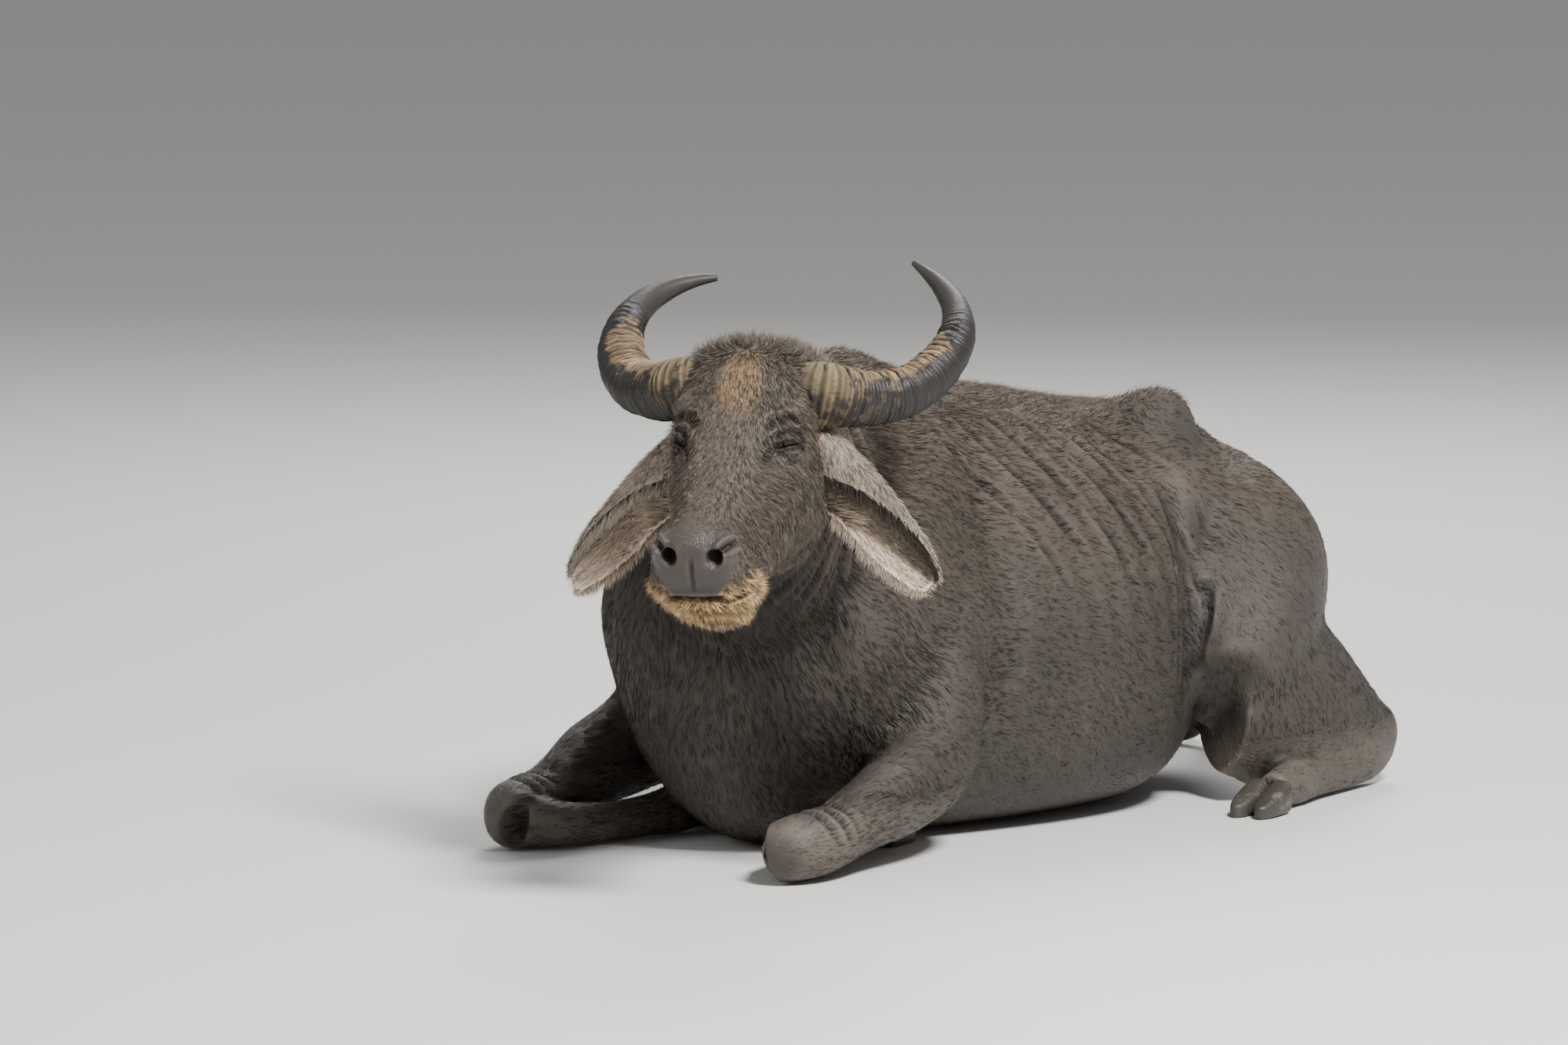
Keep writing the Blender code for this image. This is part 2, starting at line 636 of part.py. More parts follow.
def sculpt_body(flesh):
    """Bones, muscles and folds that show on the trunk and limbs."""
    clay = Clay(flesh, Matrix.Rotation(math.radians(-90), 4, "Z"))
    # In this frame x runs towards the head and y to the animal's left.
    clay.swell((0.16, 0.0, 0.81), (0.20, 0.05, 0.07), 0.010)
    clay.swell((0.24, 0.235, 0.55), (0.17, 0.10, 0.22), 0.018, both=True)
    clay.swell((0.42, 0.245, 0.40), (0.12, 0.10, 0.15), 0.016, both=True)
    clay.groove([(0.30, 0.10, 0.76), (0.42, 0.21, 0.60), (0.49, 0.24, 0.42), (0.50, 0.23, 0.26)],
                0.034, 0.018, both=True)
    clay.groove([(0.04, 0.17, 0.71), (0.07, 0.28, 0.55), (0.09, 0.32, 0.36), (0.12, 0.31, 0.18)],
                0.048, 0.017, both=True)
    for k in range(7):
        start = -0.01 - 0.052 * k
        clay.groove([(start, 0.17, 0.67), (start - 0.05, 0.29, 0.56), (start - 0.085, 0.36, 0.40),
                     (start - 0.10, 0.37, 0.24)], 0.017, 0.0026, both=True, rim=0.2)
    clay.swell((-0.345, 0.225, 0.62), (0.10, 0.12, 0.12), -0.020, both=True)
    for side, level in ((1, 0.675), (-1, 0.645)):
        clay.swell((-0.512, 0.230 * side, level - 0.008), (0.105, 0.085, 0.090), 0.024)
        clay.swell((-0.580, 0.215 * side, level - 0.035), (0.110, 0.090, 0.090), 0.014)
    clay.swell((-0.60, 0.10, 0.655), (0.10, 0.055, 0.07), -0.014, both=True)
    clay.swell((-0.590, 0.225, 0.640), (0.08, 0.08, 0.08), 0.030, both=True)
    clay.swell((-0.475, 0.275, 0.560), (0.13, 0.11, 0.13), 0.030, both=True)
    clay.write()
    clay.relax((-0.510, 0.240, 0.640), (0.20, 0.15, 0.17), 130)
    clay.write()
    clay.swell((-0.510, 0.210, 0.680), (0.135, 0.120, 0.110), 0.018, both=True)
    clay.swell((-0.885, 0.115, 0.545), (0.07, 0.06, 0.06), 0.016, both=True)
    clay.write()
    clay.groove([(-0.40, 0.27, 0.60), (-0.385, 0.345, 0.48), (-0.375, 0.385, 0.32), (-0.375, 0.39, 0.12)],
                0.022, 0.018, both=True)
    clay.groove([(-0.80, 0.18, 0.56), (-0.83, 0.26, 0.42), (-0.80, 0.35, 0.27)], 0.03, 0.010, both=True)
    clay.write()


def sculpt_head(flesh):
    """Brows, cheeks, lids, nostrils, lips and chin, in the head's own frame."""
    clay = Clay(flesh, head_frame())
    lid = LID_PLACE
    clay.swell((0.075, 0.0, 0.01), (0.11, 0.085, 0.06), 0.008)
    clay.swell((0.128, 0.090, -0.030), (0.044, 0.040, 0.042), 0.013, both=True)
    clay.swell((lid.x, lid.y, lid.z), (0.038, 0.036, 0.036), 0.011, both=True)
    clay.swell((0.105, 0.122, -0.115), (0.045, 0.04, 0.045), -0.010, both=True)
    clay.swell((0.185, 0.122, -0.195), (0.085, 0.05, 0.080), 0.008, both=True)
    clay.swell((0.235, 0.070, -0.035), (0.050, 0.030, 0.035), -0.007, both=True)
    clay.swell((0.315, 0.085, -0.135), (0.060, 0.04, 0.050), -0.008, both=True)
    clay.groove([(0.215, 0.110, -0.115), (0.275, 0.095, -0.105), (0.330, 0.080, -0.092)],
                0.014, -0.004, both=True)
    clay.write()
    clay.swell((0.462, 0.052, -0.012), (0.044, 0.034, 0.036), 0.011, both=True)
    clay.swell((0.455, 0.070, -0.082), (0.055, 0.03, 0.030), 0.007, both=True)
    clay.swell((0.500, 0.0, -0.075), (0.040, 0.050, 0.026), 0.006)
    clay.write()
    clay.swell((0.480, 0.0, -0.135), (0.22, 0.16, 0.078), 0.026, toward=(0.0, 1.0, 0.0))
    clay.swell((0.478, 0.020, -0.150), (0.050, 0.055, 0.034), 0.012, toward=(0.5, 0.0, -0.87))
    mouth = [(0.400, 0.092, -0.124), (0.455, 0.096, -0.103), (0.500, 0.060, -0.084), (0.530, 0.0, -0.073),
             (0.505, -0.056, -0.084), (0.462, -0.092, -0.102), (0.410, -0.090, -0.120)]
    clay.groove(mouth, 0.0062, 0.015, rim=0.15)
    clay.write()
    clay.swell((0.494, 0.037, -0.006), (0.020, 0.015, 0.016), -0.042, both=True,
               toward=(1.0, -0.10, 0.30))
    clay.groove([(0.488, 0.044, 0.000), (0.466, 0.060, 0.002), (0.440, 0.070, -0.016)],
                0.0068, 0.012, both=True, rim=0.2)
    clay.groove([(0.500, 0.0, 0.002), (0.516, 0.0, -0.030), (0.524, 0.0, -0.056)], 0.0042, 0.003)
    run = SLIT_RUN
    for lift, depth, half in ((0.017, 0.0036, 0.030), (0.034, 0.0040, 0.036), (-0.017, 0.0030, 0.028)):
        middle = lid + run.cross(LID_FACING) * -lift
        line = [middle - run * half, middle + LID_FACING * 0.008, middle + run * half]
        clay.groove([tuple(p) for p in line], 0.0055, depth, both=True, rim=0.4)
    clay.groove([tuple(lid - run * 0.040), tuple(lid), tuple(lid + run * 0.038)], 0.0050, 0.003, both=True)
    clay.write()


def block(name, low, high, group, frame=None):
    """A box from its low to its high corner, as a hidden cutter."""
    shape = bmesh.new()
    bmesh.ops.create_cube(shape, size=1.0)
    low, high = Vector(low), Vector(high)
    for vert in shape.verts:
        vert.co = Vector([low[i] + (vert.co[i] + 0.5) * (high[i] - low[i]) for i in range(3)])
    if frame is not None:
        shape.transform(frame)
    made = finish_shape(shape, name, group)
    made.hide_render = True
    made.display_type = "WIRE"
    return made


def facing(point, ahead, up=(0, 0, 1)):
    """A frame at point whose y runs ahead."""
    y = Vector(ahead).normalized()
    x = y.cross(Vector(up)).normalized()
    z = x.cross(y)
    return Matrix.Translation(Vector(point)) @ Matrix((x, y, z)).transposed().to_4x4()


def take(flesh, region, name, parts, cutters, skin):
    """Parts the flesh inside a region from the rest, with the thin gap between them."""
    piece = evaluated_copy(flesh, name, parts)
    boolean(piece, region, "INTERSECT")
    keep_largest(piece)
    piece.data.materials.clear()
    piece.data.materials.append(skin)
    boolean(flesh, grown(region, GAP, name + "_gap", cutters), "DIFFERENCE")
    return piece


def part_flesh(flesh, parts, cutters, skin):
    """Cuts the whole flesh into the parts a person would name."""
    ahead = (math.sin(0.45), -math.cos(0.45), 0.0)
    behind_jaw = level_frame() @ Vector((0.0, 0.088, 0.0))
    head = block("head_region", (-0.4, 0.0, -0.60), (0.4, 0.8, 0.4), cutters, facing(behind_jaw, ahead))
    pieces = [take(flesh, head, "head", parts, cutters, skin)]
    neck = block("neck_region", (-0.5, 0.0, -0.60), (0.5, 0.6, 0.5), cutters,
                 facing((0.0, -0.27, 0.81), (0.25, -0.80, 0.54)))
    pieces.append(take(flesh, neck, "neck", parts, cutters, skin))
    for side, flip in (("left", 1), ("right", -1)):
        mirror = Matrix.Diagonal((flip, 1, 1, 1))
        fore = block("fore_region_" + side, (0.148, -0.75, -0.05), (0.55, -0.165, 0.205), cutters, mirror)
        pieces.append(take(flesh, fore, "foreleg_" + side, parts, cutters, skin))
        turned = Matrix.Translation((0.262, 0.385, 0.0)) @ Matrix.Rotation(math.radians(-12), 4, "Z")
        hind = block("hind_region_" + side, (0.0, 0.0, -0.40), (0.5, 0.80, 0.585), cutters, mirror @ turned)
        pieces.append(take(flesh, hind, "hindleg_" + side, parts, cutters, skin))
    switch = block("switch_region", (-0.60, 0.80, -0.05), (SWITCH_SPLIT, 1.10, 0.10), cutters)
    pieces.append(take(flesh, switch, "tail_switch", parts, cutters, skin))
    tail = block("tail_region", (-0.40, 0.920, -0.05), (0.10, 1.10, 0.60), cutters)
    pieces.append(take(flesh, tail, "tail", parts, cutters, skin))
    flesh.name = "torso"
    keep_largest(flesh)
    flesh.data.materials.clear()
    flesh.data.materials.append(skin)
    return pieces + [flesh]


def floor_cut(flesh, cutters):
    """Cuts flat whatever presses into the floor."""
    boolean(flesh, block("floor_slab", (-2, -2, -1), (2, 2, 0), cutters), "DIFFERENCE")


def resampled(rows, count):
    """Rows of numbers spread evenly to a new count."""
    picks = np.linspace(0, len(rows) - 1, count)
    index = np.arange(len(rows))
    return np.array([[np.interp(k, index, rows[:, c]) for c in range(rows.shape[1])] for k in picks])


def make_horn(side, flip, knots, gaps, parts, finish):
    """A ridged crescent horn, keeled along its outer edge, trimmed where it leaves the head."""
    rows = resampled(smoothed(knots, 12), HORN_STATIONS)
    frame = level_frame()
    middles = [frame @ Vector((r[0] * flip, r[1], r[2])) for r in rows]
    rings = []
    for k, row in enumerate(rows):
        share = k / (len(rows) - 1)
        ahead = (middles[min(k + 1, len(rows) - 1)] - middles[max(k - 1, 0)]).normalized()
        outer = frame.to_3x3() @ Vector((0.25 * flip, -0.35, -0.9))
        outer = (outer - ahead * outer.dot(ahead)).normalized()
        across = ahead.cross(outer) * flip
        fade = max(0.0, 1 - (k / (2 * HORN_RIDGES)) ** 4)
        wave = HORN_RIDGE * fade * (-1) ** k
        ring = []
        for i in range(HORN_SIDES):
            turn = 2 * math.pi * i / HORN_SIDES
            keel = 1 + 0.10 * math.cos(3 * turn) * (1 - share)
            a = math.cos(turn) * (row[3] * keel + wave)
            b = math.sin(turn) * (row[4] * keel + wave)
            ring.append(middles[k] + outer * a + across * b)
        rings.append(ring)
    horn = loft("horn_" + side, rings, parts)
    for gap in gaps:
        boolean(horn, gap, "DIFFERENCE")
    keep_largest(horn)
    horn.data.materials.append(finish)
    return horn


def ear_strip(row, place, flip):
    """Points across the ear at one station, from the hooding top rim to the low edge."""
    top_out, top_up, low_out, low_up, cup, hood = row
    top = np.array((top_out, 0.022, top_up))
    low = np.array((low_out, -0.004, low_up))
    down = low - top
    fore = np.array((0.0, -1.0, 0.0))
    guides = [
        top + down * (0.34 * hood / 0.044) + fore * hood * 0.85,
        top + down * (0.10 * hood / 0.044) + fore * hood * 0.62,
        top,
        top + down * 0.22 - fore * cup * 0.80,
        top + down * 0.52 - fore * cup,
        top + down * 0.80 - fore * cup * 0.45,
        low,
    ]
    line = resampled(smoothed(guides, 6), EAR_STRIPS + 1)
    return [place @ Vector((p[0] * flip, p[1], p[2])) for p in line]


def lock(name, root, way, out, size, droop, group):
    """A flat tapered lock of hair. It runs from its root along way, its face to out, and droops."""
    length, width, thick = size
    way = way.normalized()
    across = way.cross(out).normalized()
    out = across.cross(way).normalized()
    rings = []
    for share, wide, deep in ((0.0, 0.42, 0.8), (0.45, 0.46, 1.0), (0.80, 0.26, 0.8), (1.0, 0.03, 0.4)):
        middle = root + way * (length * share) + droop * (share**1.5)
        side, face = across * (width * wide), out * (thick * deep)
        rings.append([middle + side, middle + face, middle - side])
    return loft(name, rings, group)


def fuse(node, locks, finish):
    """Joins a collection of closed locks to their node in one union."""
    join = node.modifiers.new("Locks", "BOOLEAN")
    join.operation = "UNION"
    join.operand_type = "COLLECTION"
    join.collection = locks
    join.solver = "MANIFOLD"
    settle(node)
    for piece in list(locks.objects):
        bpy.data.objects.remove(piece)
    node.data.materials.clear()
    node.data.materials.append(finish)
    return keep_largest(node)


def rim_locks(edge, inner, sizes, spread, lean, draw, group):
    """Locks along a rim, each grown on past the edge and leaning as the hair there does."""
    for k in range(sizes.count):
        at = (spread[0] + (spread[1] - spread[0]) * (k + draw.uniform(0.3, 0.7)) / sizes.count)
        at *= len(edge) - 1
        low = min(int(at), len(edge) - 2)
        root = edge[low].lerp(edge[low + 1], at - low)
        along = (edge[low + 1] - edge[low]).normalized()
        beyond = (root - inner[low].lerp(inner[low + 1], at - low)).normalized()
        way = beyond + Vector(lean) + along * draw.uniform(-0.2, 0.2)
        length = sizes.length * draw.uniform(0.8, 1.15)
        out = along.cross(way)
        droop = Vector((0, 0, -1)) * length * 0.3 + out.normalized() * LOCK_LAYER * (-1) ** k
        size = (length + LOCK_SUNK, sizes.width * draw.uniform(0.85, 1.1), LOCK_THICK)
        lock("lock", root - beyond * LOCK_SUNK, way, out, size, droop, group)


def make_ear(side, flip, reach, gaps, parts, finish):
    """A drooping, cupped, leaf-shaped ear whose top rim hoods the opening, fringed with long hair."""
    place = level_frame() @ Matrix.Diagonal((reach, 1.0, reach, 1.0))
    rows = resampled(smoothed(EAR, 4), EAR_STATIONS)
    strips = [ear_strip(row, place, flip) for row in rows]
    wide = EAR_STRIPS + 1
    verts = [p for strip in strips for p in strip]
    faces = [(i * wide + j, i * wide + j + 1, (i + 1) * wide + j + 1, (i + 1) * wide + j)
             for i in range(len(strips) - 1) for j in range(EAR_STRIPS)]
    ear = new_object("ear_" + side, verts, faces, parts)
    wall = ear.modifiers.new("Wall", "SOLIDIFY")
    wall.thickness = EAR_THICK
    wall.offset = 0.0
    settle(ear)
    draw = np.random.default_rng(LOCK_SEED)
    locks = collection("locks_ear_" + side, hidden=True)
    hood, low = [strip[0] for strip in strips], [strip[-1] for strip in strips]
    rim_locks(hood, [s[1] for s in strips], HOOD_LOCKS, (0.12, 0.84), (0.6 * flip, 0, -0.9), draw, locks)
    rim_locks(low, [s[-2] for s in strips], RIM_LOCKS, (0.62, 1.0), (0.5 * flip, 0, -0.3), draw, locks)
    rim_locks(low, [s[-2] for s in strips], TUFT_LOCKS, (0.10, 0.34), (1.1 * flip, -0.5, 0.7), draw, locks)
    fuse(ear, locks, finish)
    for gap in gaps:
        boolean(ear, gap, "DIFFERENCE")
    return keep_largest(ear)


def make_switch(core, parts, finish):
    """The long hair round the end of the tail, splayed on the floor."""
    draw = np.random.default_rng(LOCK_SEED)
    locks = collection("locks_switch", hidden=True)
    rows = resampled(smoothed(SWITCH[1:], 4), SWITCH_LOCKS.count + 2)
    for k in range(SWITCH_LOCKS.count):
        middle, following = Vector(rows[k + 1][:3]), Vector(rows[k + 2][:3])
        along = (following - middle).normalized()
        turn = 2.4 * k
        side = Vector((0, 0, 1)).cross(along).normalized()
        out = (side * math.cos(turn) + Vector((0, 0, 1)) * math.sin(turn)).normalized()
        way = along + out * 0.16 * rows[k + 1][3] / 0.02
        length = SWITCH_LOCKS.length * draw.uniform(0.8, 1.1)
        root = middle + out * rows[k + 1][3] * 0.45
        reach = root + way.normalized() * length
        droop = Vector((0, 0, 0.007 + 0.006 * (k % 3) - reach.z))
        size = (length, SWITCH_LOCKS.width * draw.uniform(0.8, 1.1), LOCK_THICK * 2.6)
        lock("lock", root, way, out, size, droop, locks)
    return fuse(core, locks, finish)


def ball(name, place, size, turn, parts, segments=10):
    """A sphere stretched to its half sizes and turned."""
    shape = bmesh.new()
    bmesh.ops.create_uvsphere(shape, u_segments=segments, v_segments=segments // 2 + 1, radius=1.0)
    shape.transform(Matrix.Translation(place) @ turn @ Matrix.Diagonal((*size, 1.0)))
    return finish_shape(shape, name, parts)


def make_eye(side, flip, head, parts, cutters, finish):
    """An eyeball behind half-shut lids, and the slit that shows it."""
    mirror = Vector((1, flip, 1))
    look, run = LID_FACING * mirror, (SLIT_RUN * mirror).normalized()
    frame = head_frame()
    centre = frame @ (LID_PLACE * mirror - look * (EYE_RADIUS - 0.004))
    turn = frame.to_3x3().to_4x4()
    eye = ball("eye_" + side, centre, (EYE_RADIUS,) * 3, turn, parts)
    eye.data.materials.append(finish)
    out = (look - run * look.dot(run)).normalized()
    axes = Matrix((run, out.cross(run), out)).transposed().to_4x4()
    middle = frame @ (LID_PLACE * mirror + look * 0.006)
    slit = ball("slit_" + side, middle, SLIT_HALF, turn @ axes, cutters)
    boolean(head, slit, "DIFFERENCE")
    socket = ball("socket_" + side, centre, (EYE_RADIUS + GAP,) * 3, turn, cutters)
    boolean(head, socket, "DIFFERENCE")
    return eye


def make_claw(foot, half, parts, finish):
    """One claw of a cloven foot: a blunt wedge with an upright inner face."""
    flip = 1 if half == "inner" else -1
    rings = []
    for s in np.linspace(0, 1, 5):
        forward = (s - 0.38) * CLAW_LENGTH
        width = CLAW_HALF_WIDTH * math.sqrt(max(0.05, 1 - (max(0, s - 0.3) / 0.72) ** 2.4))
        height = CLAW_HEIGHT * (1.0 - 0.62 * s)
        ring = []
        for i in range(10):
            turn = 2 * math.pi * (i + 0.5) / 10
            c, z = math.cos(turn), math.sin(turn)
            aside = math.copysign(abs(c) ** 0.7, c) * width
            level = height * (0.5 + 0.5 * math.copysign(abs(z) ** 0.6, z))
            ring.append(Vector((aside + flip * (CLAW_HALF_WIDTH + 0.0015), -forward, max(level, 0.0))))
        rings.append(ring)
    claw = loft("hoof_%s_%s" % (foot.name, half), rings, parts)
    claw.data.transform(Matrix.Translation((foot.x, foot.y, 0)) @ Matrix.Rotation(foot.heading, 4, "Z"))
    claw.data.materials.append(finish)
    return claw


def main():
    """Builds every part of the animal."""
    clear_scene()
    parts = collection("water_buffalo")
    forms = collection("forms", hidden=True)
    cutters = collection("cutters", hidden=True)
    skin = material("wet_hide", **SKIN)
    body_forms(forms)
    flesh = merge(forms, "flesh", VOXEL, parts)
    for piece in list(forms.objects):
        bpy.data.objects.remove(piece)
    sculpt_body(flesh)
    refine(flesh, in_head)
    sculpt_head(flesh)
    thin_flesh(flesh)
    floor_cut(flesh, cutters)
    named = {piece.name: piece for piece in part_flesh(flesh, parts, cutters, skin)}
    make_switch(named["tail_switch"], parts, skin)
    eye_finish, hoof_finish = material("eye", **EYE), material("hoof", **HOOF)
    horn_finish, ear_finish = material("horn", **HORN_FINISH), material("ear_hide", **EAR_HIDE)
    for side, flip in (("left", 1), ("right", -1)):
        make_eye(side, flip, named["head"], parts, cutters, eye_finish)
    keep_largest(named["head"])
    gaps = [grown(named[name], GAP, name + "_gap", cutters) for name in ("head", "neck")]
    make_horn("left", 1, HORN_LEFT, gaps, parts, horn_finish)
    make_horn("right", -1, HORN_RIGHT, gaps, parts, horn_finish)
    make_ear("left", 1, 1.0, gaps, parts, ear_finish)
    make_ear("right", -1, 1.04, gaps, parts, ear_finish)
    for foot in FEET:
        where, side = foot.name.split("_")
        leg = named[("foreleg_" if where == "front" else "hindleg_") + side]
        for half in ("inner", "outer"):
            claw = make_claw(foot, half, parts, hoof_finish)
            gap = grown(claw, GAP, claw.name + "_gap", cutters)
            for flesh_part in (leg, named["torso"]) if where == "front" else (leg,):
                boolean(flesh_part, gap, "DIFFERENCE")
                keep_largest(flesh_part)


main()
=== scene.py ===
"""Studio model of a grown water buffalo resting on its chest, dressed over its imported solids.

Metres, +Z up, floor at z = 0. The animal faces -Y and its left side is +X. One hide replaces every
solid of flesh, finer horns, eyes and hooves replace theirs, and a coat of tufts grows on the hide.
"""

from __future__ import annotations

import json
import logging
import math
from dataclasses import dataclass, field, fields
from enum import Enum
from typing import Callable, NamedTuple, Sequence

import bmesh
import bpy
import numpy as np
from mathutils import Matrix, Vector
from mathutils.bvhtree import BVHTree
from mathutils.kdtree import KDTree

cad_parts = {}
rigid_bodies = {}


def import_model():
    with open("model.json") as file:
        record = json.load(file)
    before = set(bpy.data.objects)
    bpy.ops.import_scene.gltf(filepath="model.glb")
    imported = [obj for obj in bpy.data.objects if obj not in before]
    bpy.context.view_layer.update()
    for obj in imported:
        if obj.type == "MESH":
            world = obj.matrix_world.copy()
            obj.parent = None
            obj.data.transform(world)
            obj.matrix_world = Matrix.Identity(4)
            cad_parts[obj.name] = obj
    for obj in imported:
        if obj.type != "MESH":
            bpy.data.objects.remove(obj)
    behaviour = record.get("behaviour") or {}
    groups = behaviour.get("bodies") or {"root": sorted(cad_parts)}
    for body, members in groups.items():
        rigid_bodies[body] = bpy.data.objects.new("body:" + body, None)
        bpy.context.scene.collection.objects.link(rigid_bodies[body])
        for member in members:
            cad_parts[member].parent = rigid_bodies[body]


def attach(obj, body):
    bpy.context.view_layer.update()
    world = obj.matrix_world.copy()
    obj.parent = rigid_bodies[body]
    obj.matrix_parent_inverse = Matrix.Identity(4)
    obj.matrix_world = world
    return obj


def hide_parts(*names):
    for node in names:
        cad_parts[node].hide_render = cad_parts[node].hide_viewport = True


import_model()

LOG = logging.getLogger("buffalo")
BODY = "root"
Points = np.ndarray


class Side(Enum):
    """The animal's own sides, with the sign of their way along +X."""

    LEFT = 1
    RIGHT = -1

    @property
    def word(self) -> str:
        """The side's word in the names of solids."""
        return self.name.lower()


class Section(NamedTuple):
    """A closed cross-section: place, widest level, half width there, top, base and boxiness."""

    at: float
    level: float
    half_width: float
    top: float
    base: float
    round_top: float
    round_base: float


class Knot(NamedTuple):
    """A stretch of limb or horn: middle, half width across and half depth."""

    x: float
    y: float
    z: float
    across: float
    deep: float


class EarRow(NamedTuple):
    """A station of an ear: top edge, low edge, depth of the cup, reach of the hood and hang of its edge."""

    top_out: float
    top_up: float
    low_out: float
    low_up: float
    cup: float
    hood: float
    drop: float


@dataclass(frozen=True)
class HeadPlace:
    """Where the head is and how it is turned and sloped."""

    crown: Vector = field(default_factory=lambda: Vector((0.254, -0.710, 0.890)))
    turn: float = math.radians(22.5)
    slope: float = math.radians(38.0)

    def face(self) -> Matrix:
        """The face's frame: x down the face, y to the animal's left, z up from the face."""
        sin_t, cos_t = math.sin(self.turn), math.cos(self.turn)
        sin_s, cos_s = math.sin(self.slope), math.cos(self.slope)
        down = Vector((sin_t * cos_s, -cos_t * cos_s, -sin_s))
        left = Vector((cos_t, sin_t, 0.0))
        up = Vector((sin_t * sin_s, -cos_t * sin_s, cos_s))
        return Matrix.Translation(self.crown) @ Matrix((down, left, up)).transposed().to_4x4()

    def level(self) -> Matrix:
        """The crown's frame turned with the head but kept level: x left, y back, z up."""
        return Matrix.Translation(self.crown) @ Matrix.Rotation(self.turn, 4, "Z")

    def local(self, points: Points) -> Points:
        """Points of the row frame told in the face's frame.

        Args:
            points: Rows of x, y, z in the row frame.

        Returns:
            The same points, down the face, to the left and up from the face.
        """
        inverse = np.array(self.face().inverted())
        return points @ inverse[:3, :3].T + inverse[:3, 3]

    def holds(self, points: Points) -> np.ndarray:
        """Which points lie in the head.

        Args:
            points: Rows of x, y, z in the row frame.

        Returns:
            One truth value for each point.
        """
        near = self.local(points)
        inside = (near[:, 0] > -0.07) & (near[:, 2] > -0.33)
        return inside & (points[:, 2] > 0.40) & (points[:, 1] < -0.60)


HEAD = HeadPlace()


# Shapes and their modifiers


def smoothed(rows: Sequence[Sequence[float]], steps: int) -> Points:
    """Rows of numbers with a Catmull-Rom curve run through them.

    Args:
        rows: The rows to pass through.
        steps: New rows to each gap.

    Returns:
        The finer rows.
    """
    rows = np.array(rows, float)
    padded = np.vstack([2 * rows[0] - rows[1], rows, 2 * rows[-1] - rows[-2]])
    found = []
    for i in range(1, len(rows)):
        before, start, end, after = padded[i - 1 : i + 3]
        for t in np.arange(steps) / steps:
            pull = (end - before) * t
            bend = (2 * before - 5 * start + 4 * end - after) * t * t
            last = (3 * start - before - 3 * end + after) * t**3
            found.append(start + 0.5 * (pull + bend + last))
    found.append(rows[-1])
    return np.array(found)


def resampled(rows: Points, count: int) -> Points:
    """Rows of numbers spread evenly to a new count."""
    picks = np.linspace(0, len(rows) - 1, count)
    index = np.arange(len(rows))
    return np.stack([np.interp(picks, index, rows[:, c]) for c in range(rows.shape[1])], axis=1)


def grid_faces(rows: int, columns: int, ring: bool) -> list[tuple[int, ...]]:
    """Quads over a grid of points, closed round each row where it is a ring.

    Args:
        rows: Count of rows.
        columns: Points in each row.
        ring: Whether the last point of a row joins its first.

    Returns:
        Faces as tuples of point numbers.
    """
    last = columns if ring else columns - 1
    return [
        (k * columns + i, k * columns + (i + 1) % columns,
         (k + 1) * columns + (i + 1) % columns, (k + 1) * columns + i)
        for k in range(rows - 1) for i in range(last)
    ]


def shape_object(name: str, points: Points, faces: Sequence[Sequence[int]]) -> bpy.types.Object:
    """A mesh object from points and faces, its faces pointing out.

    Args:
        name: The object's name.
        points: Rows of x, y, z.
        faces: Tuples of point numbers.

    Returns:
        The new object, linked to the scene.
    """
    mesh = bpy.data.meshes.new(name)
    mesh.from_pydata(np.asarray(points, float).tolist(), [], [tuple(f) for f in faces])
    shape = bmesh.new()
    shape.from_mesh(mesh)
    bmesh.ops.recalc_face_normals(shape, faces=shape.faces)
    if shape.calc_volume(signed=True) < 0:
        bmesh.ops.reverse_faces(shape, faces=shape.faces)
    shape.to_mesh(mesh)
    shape.free()
    made = bpy.data.objects.new(name, mesh)
    bpy.context.scene.collection.objects.link(made)
    return made


def loft(name: str, rings: Sequence[Points]) -> bpy.types.Object:
    """A closed skin over a row of rings, each end drawn to its middle."""
    count = len(rings[0])
    points = np.vstack([*rings, np.mean(rings[0], axis=0), np.mean(rings[-1], axis=0)])
    faces = grid_faces(len(rings), count, True)
    for start, middle in ((0, len(points) - 2), (len(rings) - 1, len(points) - 1)):
        faces += [(start * count + i, start * count + (i + 1) % count, middle) for i in range(count)]
    return shape_object(name, points, faces)


def settle(thing: bpy.types.Object) -> bpy.types.Object:
    """Applies an object's modifiers to its own mesh."""
    graph = bpy.context.evaluated_depsgraph_get()
    graph.update()
    mesh = bpy.data.meshes.new_from_object(thing.evaluated_get(graph))
    thing.modifiers.clear()
    old, thing.data = thing.data, mesh
    bpy.data.meshes.remove(old)
    return thing


def boolean(thing: bpy.types.Object, other: bpy.types.Object, way: str) -> bpy.types.Object:
    """Cuts, joins or meets a closed mesh with another and removes the other.

    Args:
        thing: The mesh that is kept.
        other: The mesh that works on it.
        way: DIFFERENCE, UNION or INTERSECT.

    Returns:
        The first object with its new mesh.
    """
    before = len(thing.data.polygons)
    for solver in ("MANIFOLD", "EXACT"):
        kept = thing.data.copy()
        work = thing.modifiers.new("Work", "BOOLEAN")
        work.operation, work.solver, work.object = way, solver, other
        settle(thing)
        if 0.6 * before < len(thing.data.polygons) != before:
            bpy.data.meshes.remove(kept)
            break
        thing.data = kept
    bpy.data.objects.remove(other)
    return thing


def points_of(thing: bpy.types.Object) -> Points:
    """The points of an object's mesh as rows."""
    found = np.empty(len(thing.data.vertices) * 3, np.float32)
    thing.data.vertices.foreach_get("co", found)
    return found.reshape(-1, 3).astype(float)


def normals_of(thing: bpy.types.Object) -> Points:
    """The point normals of an object's mesh as rows."""
    found = np.empty(len(thing.data.vertices) * 3, np.float32)
    thing.data.vertex_normals.foreach_get("vector", found)
    return found.reshape(-1, 3).astype(float)


